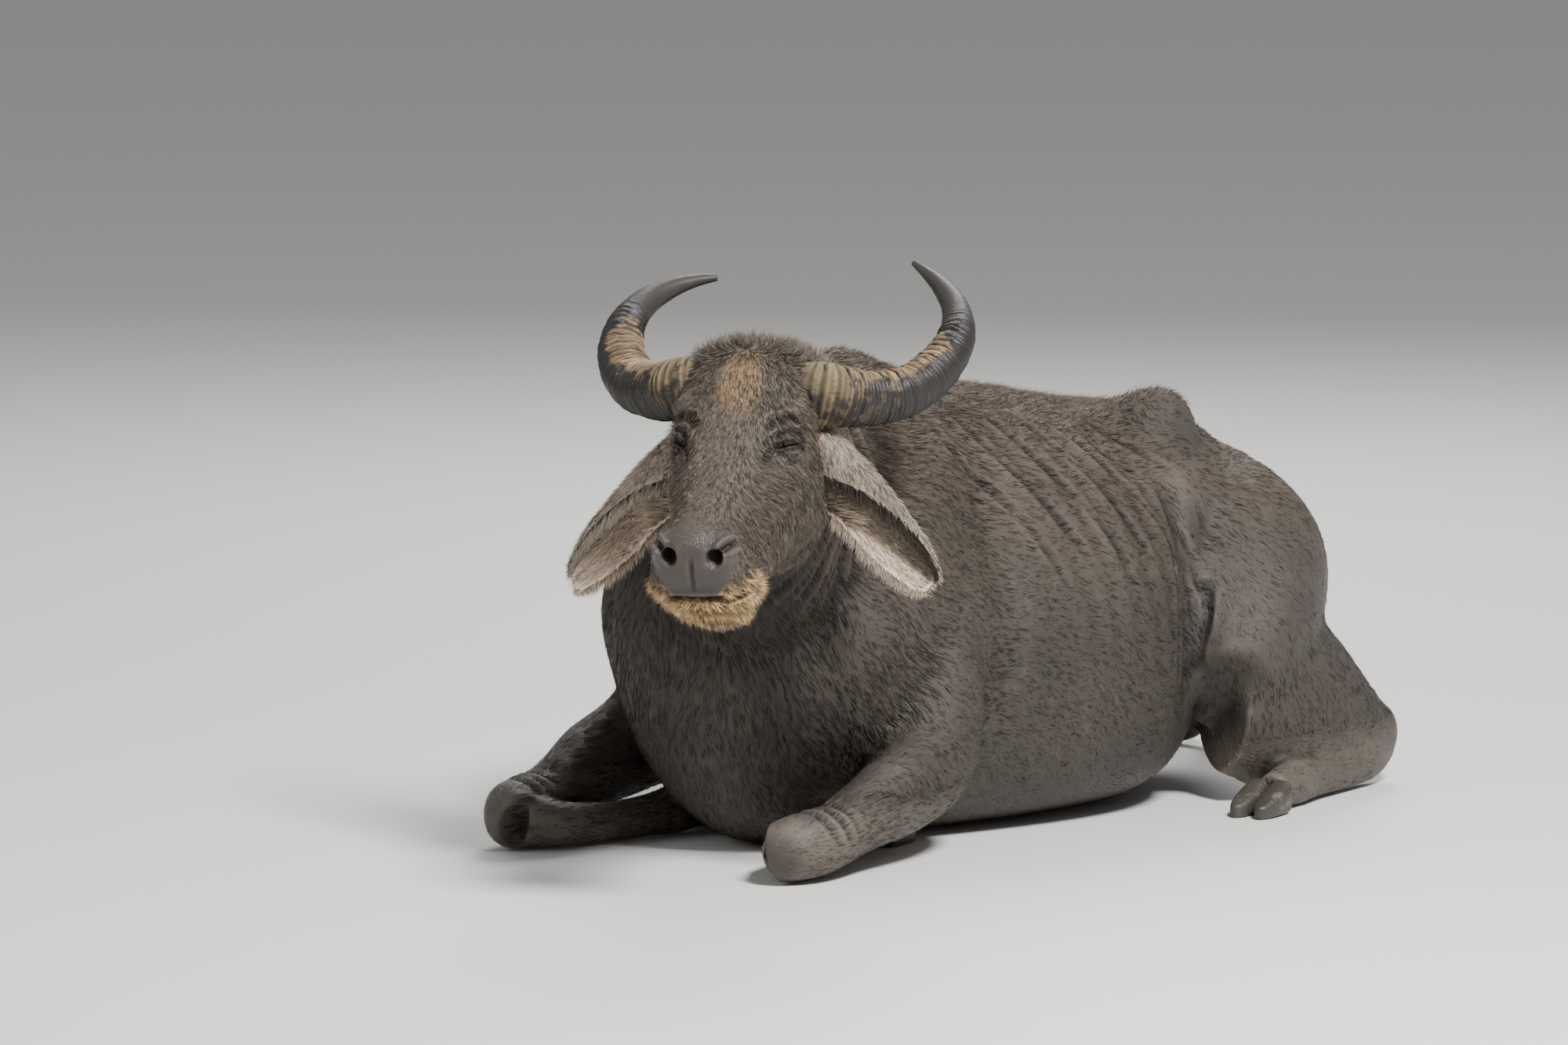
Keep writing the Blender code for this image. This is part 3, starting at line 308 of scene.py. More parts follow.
def put_points(thing: bpy.types.Object, points: Points) -> None:
    """Writes rows of points back to an object's mesh."""
    thing.data.vertices.foreach_set("co", points.astype(np.float32).ravel())
    thing.data.update()


def put_values(thing: bpy.types.Object, name: str, values: np.ndarray) -> None:
    """Stores one number or one vector for each point of a mesh under a name."""
    kind, key = ("FLOAT", "value") if values.ndim == 1 else ("FLOAT_VECTOR", "vector")
    layer = thing.data.attributes.get(name) or thing.data.attributes.new(name, kind, "POINT")
    layer.data.foreach_set(key, values.astype(np.float32).ravel())


def thinned(thing: bpy.types.Object, mask: np.ndarray, triangles: int) -> None:
    """Lowers one region's triangle count to about a given number.

    Args:
        thing: The object to work on.
        mask: Which of its points lie in the region.
        triangles: About how many triangles the region keeps.
    """
    mesh = thing.data
    mesh.calc_loop_triangles()
    corners = np.empty(len(mesh.loop_triangles) * 3, np.int32)
    mesh.loop_triangles.foreach_get("vertices", corners)
    inside = int(mask[corners.reshape(-1, 3)].all(1).sum())
    count = len(mesh.loop_triangles)
    group = thing.vertex_groups.new(name="thin")
    group.add([int(i) for i in np.flatnonzero(mask)], 1.0, "REPLACE")
    shrink = thing.modifiers.new("Thin", "DECIMATE")
    shrink.vertex_group = group.name
    shrink.vertex_group_factor = 1000.0
    shrink.ratio = min(1.0, (count - inside + triangles) / count)
    settle(thing)
    thing.vertex_groups.clear()


def softened(thing: bpy.types.Object, rounds: int, mask: np.ndarray | None = None) -> None:
    """Smooths a mesh, all over or where a mask says."""
    soft = thing.modifiers.new("Soften", "SMOOTH")
    soft.factor, soft.iterations = 0.5, rounds
    if mask is not None:
        group = thing.vertex_groups.new(name="soft")
        group.add([int(i) for i in np.flatnonzero(mask)], 1.0, "REPLACE")
        soft.vertex_group = group.name
    settle(thing)
    thing.vertex_groups.clear()


def joined(name: str, things: Sequence[bpy.types.Object]) -> bpy.types.Object:
    """One object with the meshes of several, which are removed."""
    whole = bmesh.new()
    for thing in things:
        whole.from_mesh(thing.data)
        bpy.data.objects.remove(thing)
    mesh = bpy.data.meshes.new(name)
    whole.to_mesh(mesh)
    whole.free()
    made = bpy.data.objects.new(name, mesh)
    bpy.context.scene.collection.objects.link(made)
    return made


def shade_smooth(thing: bpy.types.Object) -> None:
    """Shades every face of a mesh smooth."""
    thing.data.polygons.foreach_set("use_smooth", [True] * len(thing.data.polygons))


class Clay:
    """The points of one mesh, worked with soft brushes in a frame of its own."""

    hold = 0.09  # how far from the skin a line may be told and still be laid on it

    def __init__(self, thing: bpy.types.Object, place: Matrix) -> None:
        """Takes up an object's mesh.

        Args:
            thing: The object whose mesh is worked.
            place: The frame that the brushes are told in.
        """
        self.thing = thing
        self.place = place
        self.read()

    def read(self) -> None:
        """Takes the points and normals into the working frame."""
        inverse = np.array(self.place.inverted())
        self.points = points_of(self.thing) @ inverse[:3, :3].T + inverse[:3, 3]
        self.normals = normals_of(self.thing) @ inverse[:3, :3].T

    def write(self) -> None:
        """Puts the points back and takes fresh normals."""
        matrix = np.array(self.place)
        put_points(self.thing, self.points @ matrix[:3, :3].T + matrix[:3, 3])
        self.read()

    def near(self, low: Points, high: Points) -> np.ndarray:
        """Numbers of the points inside a box."""
        return np.flatnonzero(((self.points > low) & (self.points < high)).all(1))

    def swell(self, centre: Sequence[float], reach: Sequence[float], height: float,
              both: bool = False, toward: Sequence[float] | None = None) -> None:
        """Raises a soft mound, or presses a hollow where the height is below 0.

        Args:
            centre: Middle of the mound.
            reach: Its half sizes.
            height: How far it moves the skin.
            both: Whether the other side gets the same.
            toward: The way it moves, or None for the skin's own normal.
        """
        for flip in (1, -1) if both else (1,):
            mirror = np.array((1, flip, 1))
            middle, size = np.array(centre) * mirror, np.array(reach)
            pick = self.near(middle - size, middle + size)
            apart = (self.points[pick] - middle) / size
            weight = np.clip(1 - (apart**2).sum(1), 0, 1) ** 2 * height
            way = self.normals[pick] if toward is None else np.array(toward) * mirror
            self.points[pick] += way * weight[:, None]

    def relax(self, centre: Sequence[float], reach: Sequence[float], rounds: int) -> None:
        """Evens out the skin softly round a place and its mirror image.

        Args:
            centre: The place, in the brush's frame.
            reach: Half sizes of the brush.
            rounds: How many times the skin is evened out.
        """
        ends = np.empty(len(self.thing.data.edges) * 2, np.int32)
        self.thing.data.edges.foreach_get("vertices", ends)
        ends = ends.reshape(-1, 2)
        for side in Side:
            apart = (self.points - np.array((centre[0], centre[1] * side.value, centre[2]))) / np.array(reach)
            weight = np.clip(1 - (apart**2).sum(1), 0, 1)
            near = ends[(weight[ends] > 0).all(1)]
            found, near = np.unique(near, return_inverse=True)
            near = near.reshape(-1, 2)
            count = np.bincount(near.ravel(), minlength=len(found))
            local, share = self.points[found], weight[found][:, None] * 0.7
            for _ in range(rounds):
                total = np.stack([np.bincount(near[:, 0], local[near[:, 1], c], len(found))
                                  + np.bincount(near[:, 1], local[near[:, 0], c], len(found))
                                  for c in range(3)], axis=1)
                local = local + share * (total / count[:, None] - local)
            self.points[found] = local

    def on_surface(self, line: Points) -> Points:
        """The points of the mesh nearest to each point of a line."""
        pick = self.near(line.min(0) - self.hold, line.max(0) + self.hold)
        points = self.points[pick] if len(pick) else self.points
        return np.array([points[((points - p) ** 2).sum(1).argmin()] for p in line])

    def groove(self, path: Sequence[Sequence[float]], width: float, depth: float,
               both: bool = False, rim: float = 0.0, steps: int = 5) -> None:
        """Presses a soft line along the skin below a path.

        Args:
            path: Points that the line passes near.
            width: Half width of the line.
            depth: How deep it is, or how high where below 0.
            both: Whether the other side gets the same.
            rim: How high its edges stand, as a share of the depth.
            steps: How finely the path is followed between its points.
        """
        for flip in (1, -1) if both else (1,):
            line = self.on_surface(smoothed(path, steps) * np.array((1, flip, 1)))
            for _ in range(3):
                line[1:-1] = (line[:-2] + 2 * line[1:-1] + line[2:]) / 4
            pick = self.near(line.min(0) - 4 * width, line.max(0) + 4 * width)
            points = self.points[pick]
            near = np.full(len(pick), 1e9)
            along = np.zeros(len(pick))
            for k in range(len(line) - 1):
                start, run = line[k], line[k + 1] - line[k]
                share = np.clip((points - start) @ run / max(run @ run, 1e-12), 0, 1)
                apart = np.linalg.norm(points - start - share[:, None] * run, axis=1)
                closer = apart < near
                near[closer] = apart[closer]
                along[closer] = (k + share[closer]) / (len(line) - 1)
            ends = np.clip(np.minimum(along, 1 - along) * 5, 0.1, 1)
            shape = -np.exp(-((near / width) ** 2))
            shape += rim * np.exp(-(((near - 1.9 * width) / (0.8 * width)) ** 2))
            self.points[pick] += self.normals[pick] * (shape * ends * depth)[:, None]


@dataclass
class Frame3:
    """A limb's rings: how many points each has and how finely the knots are followed."""

    ring_points: int = 56
    steps: int = 6

    def section(self, row: Sequence[float], place: Callable[[Points, Points, Points], Points]) -> Points:
        """The points round one cross-section.

        Args:
            row: The section's seven numbers.
            place: Turns arrays of place, sideways reach and level into points.

        Returns:
            One point to a row.
        """
        at, level, half_width, top, base, round_top, round_base = row
        turn = 2 * np.pi * np.arange(self.ring_points) / self.ring_points
        c, s = np.cos(turn), np.sin(turn)
        power = np.where(s >= 0, round_top, round_base)
        aside = np.copysign(np.abs(c) ** power, c) * half_width
        reach = np.where(s >= 0, top - level, level - base)
        return place(np.full_like(c, at), aside, level + np.copysign(np.abs(s) ** power, s) * reach)

    def limb(self, name: str, knots: Sequence[Knot], flip: float = 1.0) -> bpy.types.Object:
        """A closed round form along its knots, each section square to the way it runs."""
        rows = smoothed(knots, self.steps)
        rows[:, 0] *= flip
        middles = [Vector(r[:3]) for r in rows]
        turn = 2 * np.pi * np.arange(self.ring_points) / self.ring_points
        rings = []
        for k, row in enumerate(rows):
            ahead = (middles[min(k + 1, len(rows) - 1)] - middles[max(k - 1, 0)]).normalized()
            across = ahead.cross(Vector((0, 0, 1)))
            if across.length < 0.35:
                across = Vector((1, 0, 0)) - ahead * ahead.x
            across.normalize()
            deep = across.cross(ahead).normalized()
            rings.append(np.array(middles[k]) + np.outer(np.cos(turn) * row[3], across)
                         + np.outer(np.sin(turn) * row[4], deep))
        return loft(name, rings)


@dataclass
class Forms:
    """The overlapping forms that the flesh is merged from, the same as the solids are."""

    rings: Frame3 = field(default_factory=Frame3)
    torso: tuple[Section, ...] = (
        Section(-0.590, 0.37, 0.070, 0.46, 0.26, 1.0, 1.0),
        Section(-0.555, 0.36, 0.145, 0.53, 0.15, 1.0, 1.05),
        Section(-0.485, 0.35, 0.225, 0.63, 0.055, 1.0, 1.15),
        Section(-0.395, 0.35, 0.285, 0.715, 0.005, 1.05, 1.10),
        Section(-0.270, 0.34, 0.310, 0.780, -0.006, 1.2, 0.90),
        Section(-0.150, 0.33, 0.322, 0.812, -0.006, 1.3, 0.75),
        Section(-0.020, 0.32, 0.345, 0.780, -0.006, 1.15, 0.62),
        Section(0.130, 0.31, 0.378, 0.742, -0.006, 1.02, 0.58),
        Section(0.280, 0.31, 0.388, 0.718, -0.006, 1.0, 0.58),
        Section(0.400, 0.32, 0.365, 0.694, -0.006, 0.90, 0.62),
        Section(0.500, 0.34, 0.325, 0.678, -0.002, 0.72, 0.75),
        Section(0.620, 0.35, 0.278, 0.664, 0.020, 0.72, 0.9),
        Section(0.740, 0.37, 0.226, 0.640, 0.070, 0.76, 1.0),
        Section(0.850, 0.39, 0.168, 0.604, 0.150, 0.85, 1.0),
        Section(0.925, 0.41, 0.085, 0.540, 0.260, 1.0, 1.0),
    )
    head: tuple[Section, ...] = (
        Section(-0.050, -0.115, 0.050, -0.072, -0.165, 1.0, 1.0),
        Section(-0.030, -0.110, 0.096, -0.032, -0.215, 0.9, 0.9),
        Section(0.005, -0.105, 0.118, 0.000, -0.242, 0.8, 0.9),
        Section(0.055, -0.105, 0.122, 0.014, -0.264, 0.72, 0.85),
        Section(0.105, -0.130, 0.121, 0.014, -0.284, 0.70, 0.78),
        Section(0.160, -0.170, 0.123, 0.006, -0.294, 0.76, 0.70),
        Section(0.215, -0.175, 0.118, 0.000, -0.284, 0.82, 0.70),
        Section(0.270, -0.160, 0.102, -0.003, -0.256, 0.85, 0.74),
        Section(0.325, -0.140, 0.087, -0.003, -0.228, 0.85, 0.78),
        Section(0.375, -0.120, 0.075, 0.003, -0.202, 0.85, 0.85),
        Section(0.420, -0.098, 0.074, 0.012, -0.184, 0.85, 0.85),
        Section(0.455, -0.088, 0.078, 0.019, -0.172, 0.80, 0.85),
        Section(0.482, -0.084, 0.075, 0.011, -0.162, 0.78, 0.85),
        Section(0.500, -0.082, 0.062, -0.012, -0.148, 0.85, 0.9),
        Section(0.510, -0.084, 0.040, -0.040, -0.126, 1.0, 1.0),
    )
    neck: tuple[Knot, ...] = (
        Knot(-0.010, -0.200, 0.480, 0.235, 0.300),
        Knot(0.025, -0.330, 0.520, 0.208, 0.275),
        Knot(0.085, -0.450, 0.570, 0.178, 0.250),
        Knot(0.145, -0.550, 0.630, 0.150, 0.222),
        Knot(0.195, -0.630, 0.695, 0.130, 0.185),
        Knot(0.232, -0.690, 0.742, 0.108, 0.132),
    )
    foreleg: tuple[Knot, ...] = (
        Knot(0.190, -0.170, 0.360, 0.090, 0.120),
        Knot(0.240, -0.200, 0.270, 0.090, 0.118),
        Knot(0.280, -0.255, 0.180, 0.082, 0.108),
        Knot(0.302, -0.365, 0.125, 0.068, 0.082),
        Knot(0.306, -0.500, 0.088, 0.055, 0.060),
        Knot(0.304, -0.600, 0.064, 0.057, 0.058),
        Knot(0.290, -0.655, 0.056, 0.052, 0.056),
        Knot(0.262, -0.665, 0.050, 0.046, 0.052),
    )
    fore_cannon: tuple[Knot, ...] = (
        Knot(0.275, -0.640, 0.050, 0.048, 0.052),
        Knot(0.235, -0.600, 0.042, 0.038, 0.042),
        Knot(0.205, -0.500, 0.036, 0.032, 0.038),
        Knot(0.190, -0.405, 0.038, 0.034, 0.040),
        Knot(0.184, -0.365, 0.040, 0.041, 0.044),
        Knot(0.176, -0.315, 0.038, 0.036, 0.038),
        Knot(0.171, -0.275, 0.036, 0.034, 0.032),
    )
    thigh: tuple[Knot, ...] = (
        Knot(0.085, 0.655, 0.480, 0.120, 0.140),
        Knot(0.168, 0.650, 0.455, 0.176, 0.156),
        Knot(0.243, 0.628, 0.402, 0.197, 0.172),
        Knot(0.310, 0.566, 0.330, 0.180, 0.160),
        Knot(0.370, 0.494, 0.240, 0.132, 0.134),
        Knot(0.402, 0.446, 0.196, 0.080, 0.104),
    )
    shank: tuple[Knot, ...] = (
        Knot(0.365, 0.470, 0.190, 0.084, 0.140),
        Knot(0.392, 0.545, 0.186, 0.088, 0.164),
        Knot(0.412, 0.640, 0.162, 0.078, 0.148),
        Knot(0.428, 0.730, 0.124, 0.058, 0.110),
        Knot(0.440, 0.805, 0.092, 0.045, 0.074),
        Knot(0.444, 0.856, 0.083, 0.036, 0.054),
        Knot(0.446, 0.884, 0.079, 0.019, 0.028),
    )
    hind_cannon: tuple[Knot, ...] = (
        Knot(0.444, 0.855, 0.074, 0.032, 0.046),
        Knot(0.450, 0.795, 0.058, 0.040, 0.054),
        Knot(0.460, 0.700, 0.042, 0.033, 0.042),
        Knot(0.470, 0.600, 0.038, 0.031, 0.038),
        Knot(0.478, 0.530, 0.040, 0.038, 0.044),
        Knot(0.485, 0.480, 0.038, 0.035, 0.038),
        Knot(0.490, 0.440, 0.036, 0.033, 0.032),
    )
    pelvis: tuple[Knot, ...] = (
        Knot(-0.222, 0.520, 0.622, 0.048, 0.040),
        Knot(-0.150, 0.520, 0.630, 0.070, 0.038),
        Knot(0.000, 0.540, 0.635, 0.085, 0.032),
        Knot(0.150, 0.505, 0.650, 0.070, 0.038),
        Knot(0.234, 0.510, 0.662, 0.048, 0.042),
    )
    tail: tuple[Knot, ...] = (
        Knot(0.000, 0.840, 0.560, 0.045, 0.055),
        Knot(0.000, 0.905, 0.545, 0.034, 0.040),
        Knot(0.002, 0.950, 0.480, 0.026, 0.030),
        Knot(0.004, 0.972, 0.380, 0.022, 0.024),
        Knot(0.002, 0.985, 0.260, 0.020, 0.021),
        Knot(-0.006, 0.998, 0.140, 0.019, 0.019),
        Knot(-0.030, 1.004, 0.050, 0.018, 0.018),
        Knot(-0.080, 1.000, 0.018, 0.018, 0.018),
        Knot(-0.150, 0.985, 0.018, 0.017, 0.017),
        Knot(-0.205, 0.965, 0.018, 0.014, 0.014),
        Knot(-0.245, 0.948, 0.016, 0.010, 0.010),
    )

    def mirrored(self, rows: Sequence[Knot]) -> list[Knot]:
        """The same limb on the animal's right side, drawn in a little closer and lower."""
        return [row._replace(x=-row.x * 0.955, y=row.y - 0.012, z=row.z * 0.985) for row in rows]

    def build(self) -> list[bpy.types.Object]:
        """Makes every form.

        Returns:
            The closed, overlapping meshes.
        """
        face = np.array(HEAD.face())
        across = lambda at, aside, level: np.stack([aside, at, level], axis=1)
        on_face = lambda at, aside, level: np.stack([at, aside, level], axis=1) @ face[:3, :3].T + face[:3, 3]
        made = [
            loft("torso_form", [self.rings.section(r, across) for r in smoothed(self.torso, 5)]),
            loft("head_form", [self.rings.section(r, on_face) for r in smoothed(self.head, 5)]),
        ]
        for name in ("neck", "pelvis", "tail"):
            made.append(self.rings.limb(name + "_form", getattr(self, name)))
        for flip in (1.0, -1.0):
            made.append(self.rings.limb("foreleg_form", self.foreleg, flip))
            made.append(self.rings.limb("fore_cannon_form", self.fore_cannon, flip))
        for name in ("thigh", "shank", "hind_cannon"):
            rows = getattr(self, name)
            made.append(self.rings.limb(name + "_form", rows))
            made.append(self.rings.limb(name + "_form", self.mirrored(rows)))
        return made


@dataclass(frozen=True)
class Lids:
    """The left eye's place in the face's frame. The right eye mirrors it."""

    place: Vector = field(default_factory=lambda: Vector((0.186, 0.086, -0.058)))
    facing: Vector = field(default_factory=lambda: Vector((0.24, 0.70, 0.67)).normalized())
    run: Vector = field(default_factory=lambda: Vector((-0.66, 0.67, -0.34)).normalized())
    eye_radius: float = 0.021
    slit: Vector = field(default_factory=lambda: Vector((0.030, 0.0026, 0.014)))

    def rise(self) -> Vector:
        """The way from the slit up to the brow."""
        return self.facing.cross(self.run).normalized()

    def line(self, lift: float, half: float, arch: float, out: float = 0.006) -> list[tuple[float, ...]]:
        """An arched line that runs with the slit.

        Args:
            lift: How far above the slit its ends lie.
            half: Its half length.
            arch: How much higher its middle lies.
            out: How far out from the skin it starts before it is laid on.

        Returns:
            Five points in the face's frame.
        """
        found = []
        for t in (-1.0, -0.5, 0.0, 0.5, 1.0):
            rise = lift + arch * (1 - t * t)
            found.append(tuple(self.place + self.run * (half * t) + self.rise() * rise + self.facing * out))
        return found


LIDS = Lids()

# The line between the lips, in the face's frame, from its left corner to its right one.
MOUTH = (
    (0.395, 0.092, -0.119), (0.425, 0.094, -0.103), (0.458, 0.094, -0.089), (0.500, 0.060, -0.081),
    (0.530, 0.0, -0.079), (0.505, -0.056, -0.088), (0.462, -0.092, -0.102), (0.425, -0.092, -0.117),
    (0.398, -0.090, -0.126),
)


@dataclass
class Hide:
    """The one skin of the whole animal, with every fold that is deeper than its coat."""

    forms: Forms = field(default_factory=Forms)
    voxel: float = 0.005
    soft_rounds: int = 13
    drape_rounds: int = 125
    head_triangles: int = 78_000
    body_triangles: int = 92_000
    depth: float = 0.0040

    def merged(self) -> bpy.types.Object:
        """Joins the forms into one skin and stretches it over the joints of the trunk."""
        thing = joined("hide", self.forms.build())
        remesh = thing.modifiers.new("Merge", "REMESH")
        remesh.mode, remesh.voxel_size = "VOXEL", self.voxel
        settle(thing)
        softened(thing, self.soft_rounds)
        points = points_of(thing)
        trunk = (points[:, 2] > 0.17) & (points[:, 1] < 0.90) & ~HEAD.holds(points)
        softened(thing, self.drape_rounds, trunk)
        return thing

    def refined(self, thing: bpy.types.Object) -> None:
        """Splits the faces of the head in four, for finer modelling there."""
        shape = bmesh.new()
        shape.from_mesh(thing.data)
        mask = HEAD.holds(points_of(thing))
        edges = [e for e in shape.edges if mask[e.verts[0].index] and mask[e.verts[1].index]]
        bmesh.ops.subdivide_edges(shape, edges=edges, cuts=1, use_grid_fill=True)
        bmesh.ops.triangulate(shape, faces=[f for f in shape.faces if len(f.verts) > 4])
        shape.to_mesh(thing.data)
        shape.free()
        softened(thing, 2, HEAD.holds(points_of(thing)))

    def sculpt_body(self, thing: bpy.types.Object) -> None:
        """Bones, muscles and folds of the trunk and limbs."""
        clay = Clay(thing, Matrix.Rotation(math.radians(-90), 4, "Z"))
        # In this frame x runs towards the head and y to the animal's left.
        clay.swell((0.16, 0.0, 0.81), (0.20, 0.05, 0.07), 0.010)
        clay.swell((0.24, 0.235, 0.55), (0.17, 0.10, 0.22), 0.018, both=True)
        clay.swell((0.42, 0.245, 0.40), (0.12, 0.10, 0.15), 0.016, both=True)
        clay.groove([(0.30, 0.10, 0.76), (0.42, 0.21, 0.60), (0.49, 0.24, 0.42), (0.50, 0.23, 0.26)],
                    0.034, 0.018, both=True)
        clay.groove([(0.04, 0.17, 0.71), (0.07, 0.28, 0.55), (0.09, 0.32, 0.36), (0.12, 0.31, 0.18)],
                    0.048, 0.017, both=True)
        for k in range(7):
            start = -0.01 - 0.052 * k
            clay.groove([(start, 0.17, 0.67), (start - 0.05, 0.29, 0.56), (start - 0.085, 0.36, 0.40),
                         (start - 0.10, 0.37, 0.24)], 0.017, 0.0034, both=True, rim=0.2)
        clay.swell((-0.345, 0.225, 0.62), (0.10, 0.12, 0.12), -0.020, both=True)
        for side, level in ((1, 0.675), (-1, 0.645)):
            clay.swell((-0.512, 0.230 * side, level - 0.008), (0.105, 0.085, 0.090), 0.024)
            clay.swell((-0.580, 0.215 * side, level - 0.035), (0.110, 0.090, 0.090), 0.014)
        clay.swell((-0.60, 0.10, 0.655), (0.10, 0.055, 0.07), -0.014, both=True)
        clay.swell((-0.590, 0.225, 0.640), (0.08, 0.08, 0.08), 0.030, both=True)
        clay.swell((-0.475, 0.275, 0.560), (0.13, 0.11, 0.13), 0.030, both=True)
        clay.write()
        clay.relax((-0.510, 0.240, 0.640), (0.20, 0.15, 0.17), 300)
        clay.write()
        clay.swell((-0.510, 0.210, 0.680), (0.135, 0.120, 0.110), 0.018, both=True)
        clay.swell((-0.885, 0.115, 0.545), (0.07, 0.06, 0.06), 0.016, both=True)
        clay.write()
        clay.groove([(-0.40, 0.27, 0.60), (-0.385, 0.345, 0.48), (-0.375, 0.385, 0.32),
                     (-0.375, 0.39, 0.12)], 0.026, 0.013, both=True)
        clay.groove([(-0.80, 0.18, 0.56), (-0.83, 0.26, 0.42), (-0.80, 0.35, 0.27)], 0.03, 0.010, both=True)
        clay.write()
        clay.swell((0.430, 0.335, 0.165), (0.13, 0.07, 0.08), 0.012, both=True)
        clay.swell((0.655, 0.300, 0.085), (0.050, 0.055, 0.050), 0.009, both=True)
        clay.swell((0.560, 0.300, 0.120), (0.050, 0.06, 0.05), -0.008, both=True)
        clay.write()
        for at, deep in ((0.628, 0.0026), (0.600, 0.0034), (0.575, 0.0020)):
            clay.groove([(at - 0.01, 0.245, 0.090), (at, 0.285, 0.125), (at - 0.004, 0.330, 0.110),
                         (at - 0.02, 0.355, 0.060)], 0.008, deep, both=True, rim=0.5)
        clay.write()
        self.crease_body(clay)

    def crease_body(self, clay: Clay) -> None:
        """Finer folds of the neck, shoulder and flank."""
        for k in range(5):
            lean = 0.034 * k
            clay.groove([(-0.335 - 0.7 * lean, 0.345, 0.46 - 0.02 * k), (-0.335 - 0.8 * lean, 0.375, 0.36),
                         (-0.33 - 0.7 * lean, 0.385, 0.20)], 0.0075, 0.0030, both=True, rim=0.5)
        for k in range(6):
            start = 0.60 - 0.052 * k
            clay.groove([(start - 0.03, 0.08, 0.80 - 0.012 * k), (start - 0.02, 0.16, 0.70),
                         (start + 0.01, 0.20, 0.56), (start + 0.03, 0.20, 0.42)],
                        0.010, 0.0040, both=True, rim=0.4)
        for k in range(7):
            start = 0.12 - 0.075 * k
            clay.groove([(start, 0.12, 0.75), (start - 0.05, 0.235, 0.64), (start - 0.13, 0.31, 0.50),
                         (start - 0.19, 0.345, 0.38)], 0.0065, 0.0024, both=True, rim=0.5)
        clay.write()

    def sculpt_head(self, thing: bpy.types.Object) -> None:
        """Brows, cheeks, lids, nostrils, lips and chin, in the face's frame."""
        clay = Clay(thing, HEAD.face())
        lid = LIDS.place
        clay.swell((0.075, 0.0, 0.01), (0.11, 0.085, 0.06), 0.008)
        clay.swell((0.128, 0.090, -0.030), (0.044, 0.040, 0.042), 0.013, both=True)
        clay.swell(lid, (0.038, 0.036, 0.036), 0.011, both=True)
        clay.swell((0.105, 0.122, -0.115), (0.045, 0.04, 0.045), -0.010, both=True)
        clay.swell((0.185, 0.122, -0.195), (0.085, 0.05, 0.080), 0.008, both=True)
        clay.swell((0.235, 0.070, -0.035), (0.050, 0.030, 0.035), -0.007, both=True)
        clay.swell((0.315, 0.085, -0.135), (0.060, 0.04, 0.050), -0.008, both=True)
        clay.groove([(0.215, 0.110, -0.115), (0.275, 0.095, -0.105), (0.330, 0.080, -0.092)],
                    0.014, -0.004, both=True)
        clay.write()
        clay.swell((0.462, 0.052, -0.012), (0.044, 0.034, 0.036), 0.011, both=True)
        clay.swell((0.455, 0.070, -0.082), (0.055, 0.03, 0.030), 0.007, both=True)
        clay.swell((0.500, 0.0, -0.075), (0.040, 0.050, 0.026), 0.006)
        clay.write()
        clay.swell((0.480, 0.0, -0.135), (0.22, 0.16, 0.078), 0.026, toward=(0.0, 1.0, 0.0))
        clay.swell((0.478, 0.020, -0.150), (0.050, 0.055, 0.034), 0.012, toward=(0.5, 0.0, -0.87))
        clay.groove(MOUTH, 0.0058, 0.015, rim=0.15, steps=8)
        clay.write()
        self.sculpt_muzzle(clay)
        self.sculpt_lids(clay, lid)

    def sculpt_muzzle(self, clay: Clay) -> None:
        """Nostrils with their wings, the philtrum, and the roll of the lower lip."""
        clay.swell((0.494, 0.037, -0.006), (0.020, 0.015, 0.016), -0.044, both=True,
                   toward=(1.0, -0.10, 0.30))
        clay.write()
        clay.groove([(0.488, 0.044, 0.000), (0.466, 0.060, 0.002), (0.440, 0.070, -0.016)],
                    0.0062, 0.013, both=True, rim=0.25)
        clay.groove([(0.500, 0.0, 0.002), (0.516, 0.0, -0.030), (0.524, 0.0, -0.056)], 0.0036, 0.0034)
        clay.groove([(0.440, 0.080, -0.030), (0.462, 0.086, -0.050), (0.470, 0.086, -0.072)], 0.006, 0.004,
                    both=True, rim=0.4)
        clay.groove([(0.470, 0.085, -0.132), (0.505, 0.050, -0.124), (0.512, 0.015, -0.122),
                     (0.500, -0.035, -0.122), (0.470, -0.070, -0.126)], 0.006, 0.0035, rim=0.5)
        for k in range(3):
            drop = 0.014 * k
            clay.groove([(0.385 - drop, 0.088, -0.100 - drop), (0.375 - drop, 0.093, -0.124 - drop),
                         (0.372 - drop, 0.090, -0.150)], 0.0050, 0.0028, both=True, rim=0.5)
        clay.write()

